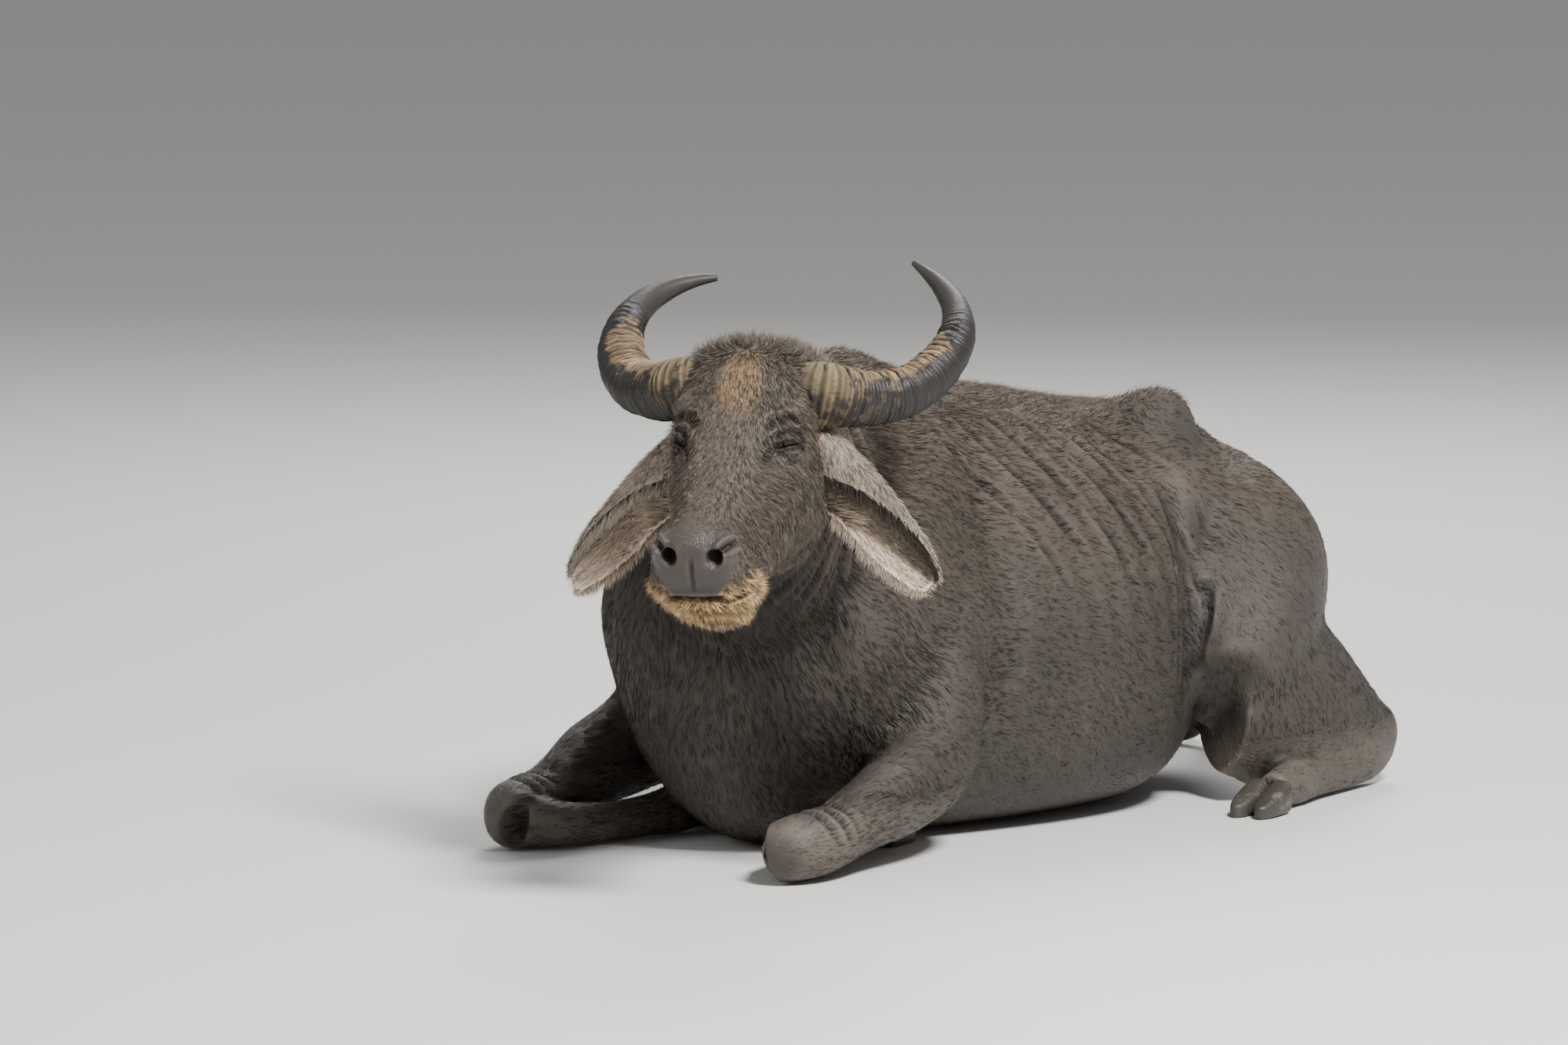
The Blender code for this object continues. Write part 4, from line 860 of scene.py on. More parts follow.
    def sculpt_lids(self, clay: Clay, lid: Vector) -> None:
        """Nearly shut lids with the folds round them and the ridge of the brow."""
        for lift, arch, half, width, depth, rim in (
            (0.009, 0.007, 0.034, 0.0026, 0.0022, 0.6), (0.018, 0.009, 0.036, 0.0030, 0.0012, 0.5),
            (0.033, 0.010, 0.044, 0.0080, 0.0060, 0.3), (0.047, 0.012, 0.030, 0.0036, 0.0012, 0.5),
            (-0.010, -0.005, 0.032, 0.0030, 0.0020, 0.5), (-0.019, -0.006, 0.026, 0.0032, 0.0010, 0.5),
        ):
            clay.groove(LIDS.line(lift, half, arch), width, depth, both=True, rim=rim, steps=7)
        clay.write()
        for k in range(5):
            lean = 0.010 * k
            start = lid + LIDS.run * (0.030 - 0.5 * lean) + LIDS.rise() * (0.012 + lean)
            clay.groove([tuple(start), tuple(start + LIDS.run * 0.014 + LIDS.rise() * 0.005),
                         tuple(start + LIDS.run * 0.024 + LIDS.rise() * 0.014)], 0.0022, 0.0014,
                        both=True, rim=0.5)
        clay.write()
        clay.groove(LIDS.line(0.0, 0.042, 0.001), 0.0036, 0.0064, both=True, rim=0.35, steps=8)
        inner = lid - LIDS.run * 0.036
        clay.groove([tuple(inner), tuple(inner + Vector((0.016, -0.006, 0.002))),
                     tuple(inner + Vector((0.034, -0.010, 0.0)))], 0.0045, 0.0030, both=True, rim=0.3)
        clay.write()

    def slits(self, thing: bpy.types.Object) -> None:
        """Opens a narrow slit and a socket behind it for each eyeball."""
        turn = HEAD.face().to_3x3().to_4x4()
        for side in Side:
            mirror = Vector((1, side.value, 1))
            look, run = LIDS.facing * mirror, (LIDS.run * mirror).normalized()
            out = (look - run * look.dot(run)).normalized()
            axes = Matrix((run, out.cross(run), out)).transposed().to_4x4()
            middle = HEAD.face() @ (LIDS.place * mirror + look * 0.003)
            boolean(thing, ellipsoid("slit", middle, LIDS.slit, turn @ axes, 40), "DIFFERENCE")
            centre = HEAD.face() @ (LIDS.place * mirror - look * (LIDS.eye_radius - 0.001))
            boolean(thing, ellipsoid("socket", centre, Vector([LIDS.eye_radius + 0.0012] * 3), turn, 40),
                    "DIFFERENCE")

    def build(self, ears: Sequence[bpy.types.Object]) -> bpy.types.Object:
        """Makes the whole skin with its ears.

        Args:
            ears: Closed ear shells whose roots reach into the head.

        Returns:
            The finished skin, under the depth of its coat.
        """
        thing = self.merged()
        LOG.info("hide merged, %d points", len(thing.data.vertices))
        self.sculpt_body(thing)
        self.refined(thing)
        self.sculpt_head(thing)
        LOG.info("hide sculpted, %d points", len(thing.data.vertices))
        thinned(thing, HEAD.holds(points_of(thing)), self.head_triangles)
        thinned(thing, ~HEAD.holds(points_of(thing)), self.body_triangles)
        self.sink(thing)
        roots = [points_of(ear) for ear in ears]
        for ear in ears:
            boolean(thing, ear, "UNION")
        self.blend_ears(thing, roots)
        self.slits(thing)
        thing.data.materials.clear()
        shade_smooth(thing)
        LOG.info("hide finished, %d faces", len(thing.data.polygons))
        return thing

    def sink(self, thing: bpy.types.Object) -> None:
        """Draws the skin in by the depth of its coat and flattens what rests on the floor."""
        points, normals = points_of(thing), normals_of(thing)
        near = HEAD.local(points)
        bare = np.clip((near[:, 0] - 0.40) / 0.06, 0, 1) * HEAD.holds(points)
        points -= normals * (self.depth * (1 - 0.8 * bare))[:, None]
        points[:, 2] = np.maximum(points[:, 2], 0.0006)
        put_points(thing, points)

    def blend_ears(self, thing: bpy.types.Object, roots: Sequence[Points]) -> None:
        """Softens the line where each ear grows out of the head."""
        points = points_of(thing)
        level = np.array(HEAD.level().inverted())
        near = points @ level[:3, :3].T + level[:3, 3]
        aside = np.abs(near[:, 0])
        mask = (aside > 0.098) & (aside < 0.145) & (near[:, 2] > -0.31) & (near[:, 2] < -0.12)
        mask &= (np.abs(near[:, 1]) < 0.075)
        softened(thing, 3, mask)


def ellipsoid(name: str, place: Vector, size: Vector, turn: Matrix, segments: int) -> bpy.types.Object:
    """A closed ball stretched to its half sizes and turned."""
    shape = bmesh.new()
    bmesh.ops.create_uvsphere(shape, u_segments=segments, v_segments=segments // 2 + 1, radius=1.0)
    shape.transform(Matrix.Translation(place) @ turn @ Matrix.Diagonal((*size, 1.0)))
    bmesh.ops.recalc_face_normals(shape, faces=shape.faces)
    mesh = bpy.data.meshes.new(name)
    shape.to_mesh(mesh)
    shape.free()
    made = bpy.data.objects.new(name, mesh)
    bpy.context.scene.collection.objects.link(made)
    return made


@dataclass
class Ear:
    """A drooping, cupped, leaf-shaped ear whose top rim hoods the opening."""

    side: Side
    reach: float = 1.0
    wall: float = 0.0050
    columns: int = 34
    rows: tuple[EarRow, ...] = (
        EarRow(0.085, -0.125, 0.085, -0.252, 0.036, 0.050, 0.034),
        EarRow(0.100, -0.135, 0.098, -0.262, 0.038, 0.050, 0.034),
        EarRow(0.137, -0.160, 0.133, -0.284, 0.040, 0.048, 0.026),
        EarRow(0.178, -0.197, 0.160, -0.306, 0.036, 0.040, 0.012),
        EarRow(0.222, -0.246, 0.190, -0.340, 0.030, 0.026, 0.003),
        EarRow(0.258, -0.290, 0.224, -0.369, 0.024, 0.016, 0.000),
        EarRow(0.284, -0.328, 0.250, -0.387, 0.018, 0.010, 0.000),
        EarRow(0.298, -0.358, 0.270, -0.398, 0.012, 0.005, 0.000),
        EarRow(0.300, -0.380, 0.286, -0.400, 0.007, 0.001, 0.000),
    )

    def strip(self, row: Sequence[float], place: Points) -> Points:
        """Points across the ear at one station, from the hooding top rim to the low edge."""
        top_out, top_up, low_out, low_up, cup, hood, drop = row
        top, low = np.array((top_out, 0.022, top_up)), np.array((low_out, -0.004, low_up))
        down, fore = low - top, np.array((0.0, -1.0, 0.0))
        guides = [
            top + down * (0.25 * hood / 0.044) + fore * hood * 0.78 - np.array((0.0, 0.0, drop)),
            top + down * (0.07 * hood / 0.044) + fore * hood * 0.60,
            top,
            top + down * 0.22 - fore * cup * 0.80,
            top + down * 0.52 - fore * cup,
            top + down * 0.80 - fore * cup * 0.45,
            low,
        ]
        line = resampled(smoothed(guides, 8), self.columns) * np.array((self.side.value, 1, 1))
        return line @ place[:3, :3].T + place[:3, 3]

    def sheet(self) -> Points:
        """The ear's middle surface, as rows of strips."""
        place = np.array(HEAD.level() @ Matrix.Diagonal((self.reach, 1.0, self.reach, 1.0)))
        rows = smoothed(self.rows, 7)
        found = np.array([self.strip(row, place) for row in rows])
        wave = np.random.default_rng(11 + self.side.value)
        for _ in range(3):
            at, lean = wave.uniform(0.2, 0.9), wave.uniform(-0.4, 0.4)
            along = np.linspace(0, 1, len(rows))[:, None]
            across = np.linspace(0, 1, self.columns)[None, :]
            fold = np.exp(-(((across - at - lean * (along - 0.5)) / 0.05) ** 2)) * 0.0018
            found[:, :, 1] += fold
        return found

    def facing(self) -> Points:
        """The way that the inner face of the ear looks at each point of its sheet."""
        sheet = self.sheet()
        out = np.cross(np.gradient(sheet, axis=0), np.gradient(sheet, axis=1))
        return out * (-self.side.value / np.maximum(np.linalg.norm(out, axis=2), 1e-9)[..., None])

    def build(self) -> bpy.types.Object:
        """Makes the closed shell of the ear."""
        sheet = self.sheet()
        rows, columns = sheet.shape[:2]
        mesh = bpy.data.meshes.new("ear")
        mesh.from_pydata(sheet.reshape(-1, 3).tolist(), [], grid_faces(rows, columns, False))
        made = bpy.data.objects.new("ear", mesh)
        bpy.context.scene.collection.objects.link(made)
        wall = made.modifiers.new("Wall", "SOLIDIFY")
        wall.thickness, wall.offset = self.wall, 0.0
        settle(made)
        shape = bmesh.new()
        shape.from_mesh(made.data)
        bmesh.ops.recalc_face_normals(shape, faces=shape.faces)
        if shape.calc_volume(signed=True) < 0:
            bmesh.ops.reverse_faces(shape, faces=shape.faces)
        shape.to_mesh(made.data)
        shape.free()
        return made


@dataclass
class Horn:
    """A crescent horn: fine ridges below, broad cracked plates above, smooth towards the tip."""

    side: Side
    knots: tuple[Knot, ...]
    stations: int = 420
    sides: int = 64
    smooth_from: float = 0.70
    seed: int = 3

    def middles(self) -> tuple[Points, Points]:
        """The horn's midline and half sizes, spread evenly along its curve."""
        rows = smoothed(self.knots, 24)
        steps = np.linalg.norm(np.diff(rows[:, :3], axis=0), axis=1)
        along = np.concatenate([[0], np.cumsum(steps)])
        wanted = np.linspace(0, along[-1], self.stations)
        rows = np.stack([np.interp(wanted, along, rows[:, c]) for c in range(5)], axis=1)
        rows[:, 0] *= self.side.value
        place = np.array(HEAD.level())
        return rows[:, :3] @ place[:3, :3].T + place[:3, 3], rows[:, 3:]

    def relief(self, share: Points, upper: Points) -> tuple[Points, Points, Points]:
        """Height of the horn's surface over its plain shape, its cracks and the valleys of its rings.

        Args:
            share: How far along the horn each point lies.
            upper: 1 on the inner edge of the crescent, -1 on its outer edge.

        Returns:
            The heights in metres, then the cracks and the valleys from 0 to 1; the finish paints both near black as
            shade.
        """
        draw = np.random.default_rng(self.seed)
        fade = np.clip((self.smooth_from - share) / 0.12, 0, 1) * np.clip((share - 0.02) / 0.04, 0, 1)
        plates = np.zeros_like(share)
        cracks = np.zeros_like(share)
        at = 0.05
        while at < self.smooth_from + 0.03:
            sway = draw.uniform(-0.006, 0.006)
            bend = draw.uniform(-0.004, 0.012)
            line = at + sway * upper + bend * (upper**2 - 0.5)
            line = line + 0.0022 * np.sin(9 * upper + 40 * at)
            deep = draw.uniform(0.45, 1.0) * np.clip(upper * 1.6 + 0.85, 0.25, 1)
            cracks = np.maximum(cracks, deep * np.exp(-(((share - line) / 0.0034) ** 2)))
            plates += 0.8 * deep * np.exp(-(((share - line - 0.009) / 0.007) ** 2))
            at += draw.uniform(0.016, 0.036)
        rings = np.zeros_like(share)
        at = 0.03
        while at < self.smooth_from:
            line = at + draw.uniform(-0.003, 0.003) * upper
            tall = draw.uniform(0.3, 1.0)
            rings += tall * np.exp(-(((share - line) / 0.0034) ** 2))
            at += draw.uniform(0.009, 0.015)
        low = np.clip(0.55 - upper, 0, 1)
        height = fade * (0.0030 * plates - 0.0048 * cracks + 0.0030 * rings * (0.45 + 0.55 * low))
        valley = fade * np.clip(1 - 1.6 * rings, 0, 1) * (0.55 + 0.45 * low)
        return height, cracks * fade, valley

    def build(self) -> bpy.types.Object:
        """Makes the horn as one closed mesh with its own values for the finish."""
        middles, halves = self.middles()
        place = np.array(HEAD.level())
        centre = place[:3, :3] @ np.array((0.100 * self.side.value, 0.250, 0.050)) + place[:3, 3]
        ahead = np.gradient(middles, axis=0)
        ahead /= np.linalg.norm(ahead, axis=1)[:, None]
        inner = centre - middles
        inner -= ahead * (inner * ahead).sum(1)[:, None]
        inner /= np.linalg.norm(inner, axis=1)[:, None]
        across = np.cross(ahead, inner)
        turn = 2 * np.pi * np.arange(self.sides) / self.sides
        share = np.repeat(np.linspace(0, 1, self.stations)[:, None], self.sides, axis=1)
        upper = np.repeat(np.cos(turn)[None, :], self.stations, axis=0)
        height, cracks, valley = self.relief(share, upper)
        keel = 1 + (1 - share) * (0.07 * np.cos(3 * turn) - 0.05 * np.cos(2 * turn))[None, :]
        tall = (halves[:, :1] * keel + height) * np.cos(turn)[None, :]
        wide = (halves[:, 1:] * keel + height) * np.sin(turn)[None, :]
        points = middles[:, None] + inner[:, None] * tall[..., None] + across[:, None] * wide[..., None]
        made = loft("horn_" + self.side.word + "_fine", list(points))
        for name, values, tip in (("share", share, 1.0), ("upper", upper, 0.0), ("crack", cracks, 0.0),
                                  ("valley", valley, 0.0)):
            put_values(made, name, np.concatenate([values.ravel(), [0.0, tip]]))
        shade_smooth(made)
        return made


HORN_LEFT = (
    Knot(0.070, 0.000, -0.074, 0.052, 0.044), Knot(0.122, 0.006, -0.084, 0.053, 0.047),
    Knot(0.178, 0.050, -0.094, 0.044, 0.042), Knot(0.232, 0.102, -0.086, 0.041, 0.038),
    Knot(0.270, 0.165, -0.052, 0.036, 0.034), Knot(0.281, 0.235, -0.012, 0.030, 0.029),
    Knot(0.264, 0.300, 0.024, 0.0235, 0.023), Knot(0.233, 0.345, 0.052, 0.017, 0.017),
    Knot(0.202, 0.373, 0.073, 0.011, 0.011), Knot(0.171, 0.390, 0.092, 0.005, 0.005),
)
HORN_RIGHT = (
    Knot(0.070, 0.000, -0.074, 0.052, 0.044), Knot(0.120, 0.006, -0.082, 0.053, 0.047),
    Knot(0.176, 0.050, -0.092, 0.046, 0.042), Knot(0.230, 0.102, -0.084, 0.043, 0.038),
    Knot(0.266, 0.165, -0.050, 0.038, 0.034), Knot(0.276, 0.235, -0.008, 0.031, 0.029),
    Knot(0.262, 0.300, 0.024, 0.025, 0.023), Knot(0.232, 0.345, 0.044, 0.018, 0.017),
    Knot(0.198, 0.373, 0.055, 0.012, 0.011), Knot(0.164, 0.390, 0.060, 0.006, 0.006),
)


@dataclass
class Eye:
    """One eyeball behind its nearly shut lids."""

    side: Side

    def build(self) -> bpy.types.Object:
        """Makes the eyeball with a slight bulge of the cornea."""
        mirror = Vector((1, self.side.value, 1))
        look = LIDS.facing * mirror
        centre = HEAD.face() @ (LIDS.place * mirror - look * (LIDS.eye_radius - 0.001))
        size = Vector([LIDS.eye_radius] * 3)
        made = ellipsoid("eye_%s_fine" % self.side.word, centre, size, Matrix.Identity(4), 64)
        points = points_of(made)
        way = np.array(HEAD.face().to_3x3() @ look)
        out = points - np.array(centre)
        facing = (out @ way) / LIDS.eye_radius
        points += out * (0.06 * np.clip((facing - 0.80) / 0.20, 0, 1) ** 2)[:, None]
        put_points(made, points)
        put_values(made, "facing", facing)
        shade_smooth(made)
        return made


@dataclass
class Claw:
    """One claw of a cloven foot: a blunt wedge, worn at the toe, with rings from its growth."""

    name: str
    x: float
    y: float
    heading: float
    flip: int
    length: float = 0.088
    height: float = 0.058
    half_width: float = 0.0215
    stations: int = 44
    sides: int = 48

    def build(self) -> bpy.types.Object:
        """Makes the claw as one closed mesh."""
        turn = 2 * np.pi * (np.arange(self.sides) + 0.5) / self.sides
        c, z = np.cos(turn), np.sin(turn)
        rings = []
        for s in np.linspace(0, 1, self.stations):
            width = self.half_width * math.sqrt(max(0.05, 1 - (max(0, s - 0.3) / 0.72) ** 2.4))
            width *= 1 + 0.012 * math.sin(2 * math.pi * s * 9)
            tall = self.height * (1.0 - 0.62 * s) * (1 + 0.010 * math.sin(2 * math.pi * s * 9 + 0.6))
            aside = np.copysign(np.abs(c) ** 0.7, c) * width + self.flip * (self.half_width + 0.0015)
            level = np.maximum(tall * (0.5 + 0.5 * np.copysign(np.abs(z) ** 0.6, z)), 0.0004)
            forward = np.full_like(c, (s - 0.38) * self.length)
            rings.append(np.stack([aside, -forward, level], axis=1) * 0.985)
        place = np.array(Matrix.Translation((self.x, self.y, 0)) @ Matrix.Rotation(self.heading, 4, "Z"))
        rings = [ring @ place[:3, :3].T + place[:3, 3] for ring in rings]
        made = loft(self.name + "_fine", rings)
        shade_smooth(made)
        return made


@dataclass(frozen=True)
class Feet:
    """Where the four feet lie and the way each points."""

    places: tuple[tuple[str, float, float, float], ...] = (
        ("front_left", 0.167, -0.235, 186.0), ("front_right", -0.167, -0.235, 174.0),
        ("rear_left", 0.495, 0.402, 7.0), ("rear_right", -0.468, 0.392, -7.0),
    )

    def build(self) -> dict[str, bpy.types.Object]:
        """Makes all claws, told by the name of the solid that each replaces."""
        made = {}
        for where, x, y, heading in self.places:
            for half, flip in (("inner", 1), ("outer", -1)):
                name = "hoof_%s_%s" % (where, half)
                made[name] = Claw(name, x, y, math.radians(heading), flip).build()
        return made


# Finishes


class Wires:
    """A node tree with short ways to add nodes and join them."""

    def __init__(self, tree: bpy.types.NodeTree) -> None:
        """Takes up a tree."""
        self.tree = tree

    def node(self, kind: str, links: dict[str, object] | None = None, **settings: object) -> bpy.types.Node:
        """Adds a node.

        Args:
            kind: The node's type.
            links: Its inputs by name or number: a socket to join, or a value to set.
            settings: Properties of the node.

        Returns:
            The new node.
        """
        made = self.tree.nodes.new(kind)
        for key, value in settings.items():
            setattr(made, key, value)
        for key, value in (links or {}).items():
            socket = made.inputs[int(key) if key.isdigit() else key]
            if isinstance(value, bpy.types.NodeSocket):
                self.tree.links.new(value, socket)
            else:
                socket.default_value = value
        return made

    def math(self, operation: str, first: object, second: object = 0.0, clamp: bool = False) -> bpy.types.NodeSocket:
        """Adds a math node and gives its result."""
        made = self.node("ShaderNodeMath", {"0": first, "1": second}, operation=operation, use_clamp=clamp)
        return made.outputs[0]

    def mixed(self, share: object, first: object, second: object, way: str = "MIX") -> bpy.types.NodeSocket:
        """Mixes two colours and gives the result."""
        made = self.node("ShaderNodeMix", {"0": share, "6": first, "7": second}, data_type="RGBA",
                         blend_type=way)
        return made.outputs[2]

    def noise(self, place: object, scale: float, detail: float = 4.0, rough: float = 0.55) -> bpy.types.NodeSocket:
        """Adds a noise texture and gives its value."""
        made = self.node("ShaderNodeTexNoise", {"Vector": place, "Scale": scale, "Detail": detail,
                                                "Roughness": rough})
        return made.outputs["Fac"]

    def span(self, value: object, low: float, high: float, out_low: float = 0.0,
             out_high: float = 1.0) -> bpy.types.NodeSocket:
        """Stretches a value from one range to another, held at its ends."""
        made = self.node("ShaderNodeMapRange", {"Value": value, "From Min": low, "From Max": high,
                                                "To Min": out_low, "To Max": out_high})
        return made.outputs["Result"]

    def attribute(self, name: str) -> bpy.types.Node:
        """Reads a value that the mesh carries."""
        return self.node("ShaderNodeAttribute", attribute_name=name)


def new_group(name: str, takes: dict[str, str], gives: dict[str, str]) -> tuple[bpy.types.NodeTree, Wires, bpy.types.Node, bpy.types.Node]:
    """An empty shader group with named sockets.

    Args:
        name: The group's name.
        takes: Its inputs, name to socket type.
        gives: Its outputs, name to socket type.

    Returns:
        The tree, its wires, and its input and output nodes.
    """
    tree = bpy.data.node_groups.new(name, "ShaderNodeTree")
    for way, sockets in (("INPUT", takes), ("OUTPUT", gives)):
        for label, kind in sockets.items():
            tree.interface.new_socket(label, in_out=way, socket_type=kind)
    wires = Wires(tree)
    return tree, wires, wires.node("NodeGroupInput"), wires.node("NodeGroupOutput")


COLOUR, VALUE, VECTOR = "NodeSocketColor", "NodeSocketFloat", "NodeSocketVector"


def weathering_group() -> bpy.types.NodeTree:
    """Uneven tone, dust and fine relief that every finish of the animal shares."""
    tree, w, into, out = new_group(
        "weathering", {"Place": VECTOR, "Tone": COLOUR, "Amount": VALUE, "Dust": VALUE, "Grain": VALUE},
        {"Colour": COLOUR, "Relief": VALUE, "Patch": VALUE})
    broad = w.noise(into.outputs["Place"], 5.0, 5.0, 0.6)
    fine = w.noise(into.outputs["Place"], 60.0, 6.0, 0.65)
    grain = w.noise(into.outputs["Place"], into.outputs["Grain"], 3.0, 0.6)
    light = w.math("ADD", w.math("MULTIPLY", w.math("SUBTRACT", broad, 0.5), 1.1),
                   w.math("MULTIPLY", w.math("SUBTRACT", fine, 0.5), 0.9))
    scaled = w.math("MULTIPLY", light, into.outputs["Amount"])
    level = w.math("ADD", 1.0, scaled)
    level_colour = w.node("ShaderNodeCombineColor", {"0": level, "1": level, "2": level})
    toned = w.mixed(1.0, into.outputs["Tone"], level_colour.outputs[0], "MULTIPLY")
    specks = w.span(w.noise(into.outputs["Place"], 24.0, 8.0, 0.7), 0.56, 0.72)
    dusty = w.math("MULTIPLY", specks, into.outputs["Dust"], clamp=True)
    coated = w.mixed(dusty, toned, (0.30, 0.235, 0.155, 1.0))
    w.tree.links.new(coated, out.inputs["Colour"])
    relief = w.math("ADD", w.math("MULTIPLY", fine, 0.6), w.math("MULTIPLY", grain, 0.4))
    w.tree.links.new(relief, out.inputs["Relief"])
    w.tree.links.new(broad, out.inputs["Patch"])
    return tree


@dataclass(frozen=True)
class Finish:
    """A named surface: its base numbers and how its nodes are built."""

    name: str
    roughness: float = 0.6
    coat: float = 0.0
    coat_roughness: float = 0.2
    sheen: float = 0.0
    specular: float = 0.5

    def start(self) -> tuple[bpy.types.Material, Wires, bpy.types.Node]:
        """A new material with its shader's plain numbers set on the shader's own sockets."""
        made = bpy.data.materials.new(self.name)
        made.use_nodes = True
        shader = made.node_tree.nodes["Principled BSDF"]
        shader.inputs["Roughness"].default_value = self.roughness
        shader.inputs["Coat Weight"].default_value = self.coat
        shader.inputs["Coat Roughness"].default_value = self.coat_roughness
        shader.inputs["Sheen Weight"].default_value = self.sheen
        shader.inputs["Specular IOR Level"].default_value = self.specular
        return made, Wires(made.node_tree), shader

    def bumped(self, w: Wires, shader: bpy.types.Node, height: object, strength: float, distance: float) -> None:
        """Joins a height to the shader through a Bump node."""
        bump = w.node("ShaderNodeBump", {"Height": height, "Strength": strength, "Distance": distance})
        w.tree.links.new(bump.outputs["Normal"], shader.inputs["Normal"])


@dataclass
class Finishes:
    """Every finish of the animal and of the floor it lies on."""

    weathering: bpy.types.NodeTree = field(default_factory=weathering_group)

    def weathered(self, w: Wires, tone: object, amount: float, dust: object, grain: float) -> bpy.types.Node:
        """Places the shared weathering in a material."""
        place = w.node("ShaderNodeTexCoord").outputs["Object"]
        made = w.node("ShaderNodeGroup", node_tree=self.weathering)
        for key, value in (("Place", place), ("Tone", tone), ("Amount", amount), ("Dust", dust),
                           ("Grain", grain)):
            if isinstance(value, bpy.types.NodeSocket):
                w.tree.links.new(value, made.inputs[key])
            else:
                made.inputs[key].default_value = value
        return made

    def hide(self) -> bpy.types.Material:
        """Damp hide: the painted tone, pores, creases, and a wet gloss where it is bare."""
        finish = Finish("hide", roughness=0.55, specular=0.38)
        made, w, shader = finish.start()
        tone, wet = w.attribute("tone"), w.attribute("wet")
        aged = self.weathered(w, tone.outputs["Color"], 0.75, 0.10, 260.0)
        w.tree.links.new(aged.outputs["Colour"], shader.inputs["Base Color"])
        place = w.node("ShaderNodeTexCoord").outputs["Object"]
        pores = w.node("ShaderNodeTexVoronoi", {"Vector": place, "Scale": 420.0}, feature="DISTANCE_TO_EDGE")
        creased = w.node("ShaderNodeMapping", {"Vector": place, "Rotation": (0.5, 0.0, 0.1),
                                               "Scale": (14.0, 70.0, 9.0)})
        folds = w.noise(creased.outputs["Vector"], 1.0, 5.0, 0.6)
        height = w.math("ADD", w.math("MULTIPLY", aged.outputs["Relief"], 0.55),
                        w.math("MULTIPLY", w.span(pores.outputs["Distance"], 0.0, 0.35), 0.35))
        height = w.math("ADD", height, w.math("MULTIPLY", folds, 0.9))
        finish.bumped(w, shader, height, 0.55, 0.0022)
        rough = w.math("SUBTRACT", w.span(aged.outputs["Patch"], 0.3, 0.7, 0.56, 0.72),
                       w.math("MULTIPLY", wet.outputs["Fac"], 0.33))
        w.tree.links.new(rough, shader.inputs["Roughness"])
        return made

    def coat(self) -> bpy.types.Material:
        """Hair: the hide's tone at the root, paler towards the tip."""
        finish = Finish("coat_hair", roughness=0.50, specular=0.30)
        made, w, shader = finish.start()
        tone, along = w.attribute("tone"), w.attribute("along")
        aged = self.weathered(w, tone.outputs["Color"], 0.8, 0.08, 340.0)
        tip = w.attribute("tip_tone")
        grown = w.mixed(w.span(along.outputs["Fac"], 0.15, 1.0), aged.outputs["Colour"], tip.outputs["Color"])
        w.tree.links.new(grown, shader.inputs["Base Color"])
        return made

    def horn(self) -> bpy.types.Material:
        """Grey-black horn with dried mud in its plates and a worn, glossy outer edge; its cracks and the valleys of
        its rings are painted near black as shade.
        """
        finish = Finish("horn_fine", roughness=0.5, specular=0.34)
        made, w, shader = finish.start()
        share, upper, crack, valley = (w.attribute(n).outputs["Fac"]
                                       for n in ("share", "upper", "crack", "valley"))
        place = w.node("ShaderNodeTexCoord").outputs["Object"]
        aged = self.weathered(w, (0.022, 0.0205, 0.020, 1.0), 0.9, 0.0, 300.0)
        tip = w.span(share, 0.60, 0.80)
        base = w.mixed(tip, aged.outputs["Colour"], (0.036, 0.032, 0.029, 1.0))
        clods = w.noise(place, 34.0, 6.0, 0.66)
        broad = w.noise(place, 9.0, 3.0, 0.5)
        reach = w.math("MULTIPLY", w.span(upper, -0.55, 0.15), w.span(share, 0.64, 0.50))
        reach = w.math("MAXIMUM", reach, w.math("MULTIPLY", w.span(share, 0.42, 0.04),
                                                   w.span(upper, -0.95, 0.2, 0.45, 1.0)))
        level = w.math("ADD", w.math("MULTIPLY", clods, 0.65), w.math("MULTIPLY", broad, 0.35))
        level = w.math("ADD", level, w.math("MULTIPLY", reach, 0.26))
        muddy = w.math("MULTIPLY", w.span(level, 0.60, 0.70), w.span(reach, 0.0, 0.3))
        earth = w.mixed(w.span(w.noise(place, 14.0, 5.0, 0.7), 0.35, 0.65), (0.095, 0.066, 0.038, 1.0),
                        (0.52, 0.355, 0.205, 1.0))
        old = w.mixed(w.math("MULTIPLY", w.span(share, 0.45, 0.05), 0.8), earth, (0.155, 0.118, 0.066, 1.0))
        coated = w.mixed(w.math("MULTIPLY", muddy, 0.94), base, old)
        lichen = w.math("MULTIPLY", w.span(w.noise(place, 120.0, 3.0), 0.60, 0.66), w.span(share, 0.40, 0.12))
        coated = w.mixed(w.math("MULTIPLY", lichen, 0.5), coated, (0.17, 0.13, 0.035, 1.0))
        # Painted shade: the valleys between the rings and the cracks are painted near black.
        coated = w.mixed(w.math("MULTIPLY", valley, 0.72), coated, (0.014, 0.012, 0.010, 1.0))
        split = w.mixed(w.span(crack, 0.15, 0.60), coated, (0.008, 0.007, 0.0065, 1.0))
        w.tree.links.new(split, shader.inputs["Base Color"])
        rough = w.math("ADD", w.span(clods, 0.3, 0.7, 0.40, 0.58), w.math("MULTIPLY", muddy, 0.40), clamp=True)
        w.tree.links.new(rough, shader.inputs["Roughness"])
        height = w.math("ADD", aged.outputs["Relief"], w.math("MULTIPLY", muddy, 0.8))
        finish.bumped(w, shader, height, 0.7, 0.0018)
        return made

    def hoof(self) -> bpy.types.Material:
        """Worn dark hoof with scuffs and growth rings."""
        finish = Finish("hoof_fine", roughness=0.55)
        made, w, shader = finish.start()
        aged = self.weathered(w, (0.050, 0.043, 0.036, 1.0), 0.8, 0.7, 300.0)
        w.tree.links.new(aged.outputs["Colour"], shader.inputs["Base Color"])
        w.tree.links.new(w.span(aged.outputs["Patch"], 0.3, 0.7, 0.42, 0.66), shader.inputs["Roughness"])
        finish.bumped(w, shader, aged.outputs["Relief"], 0.6, 0.0010)
        return made

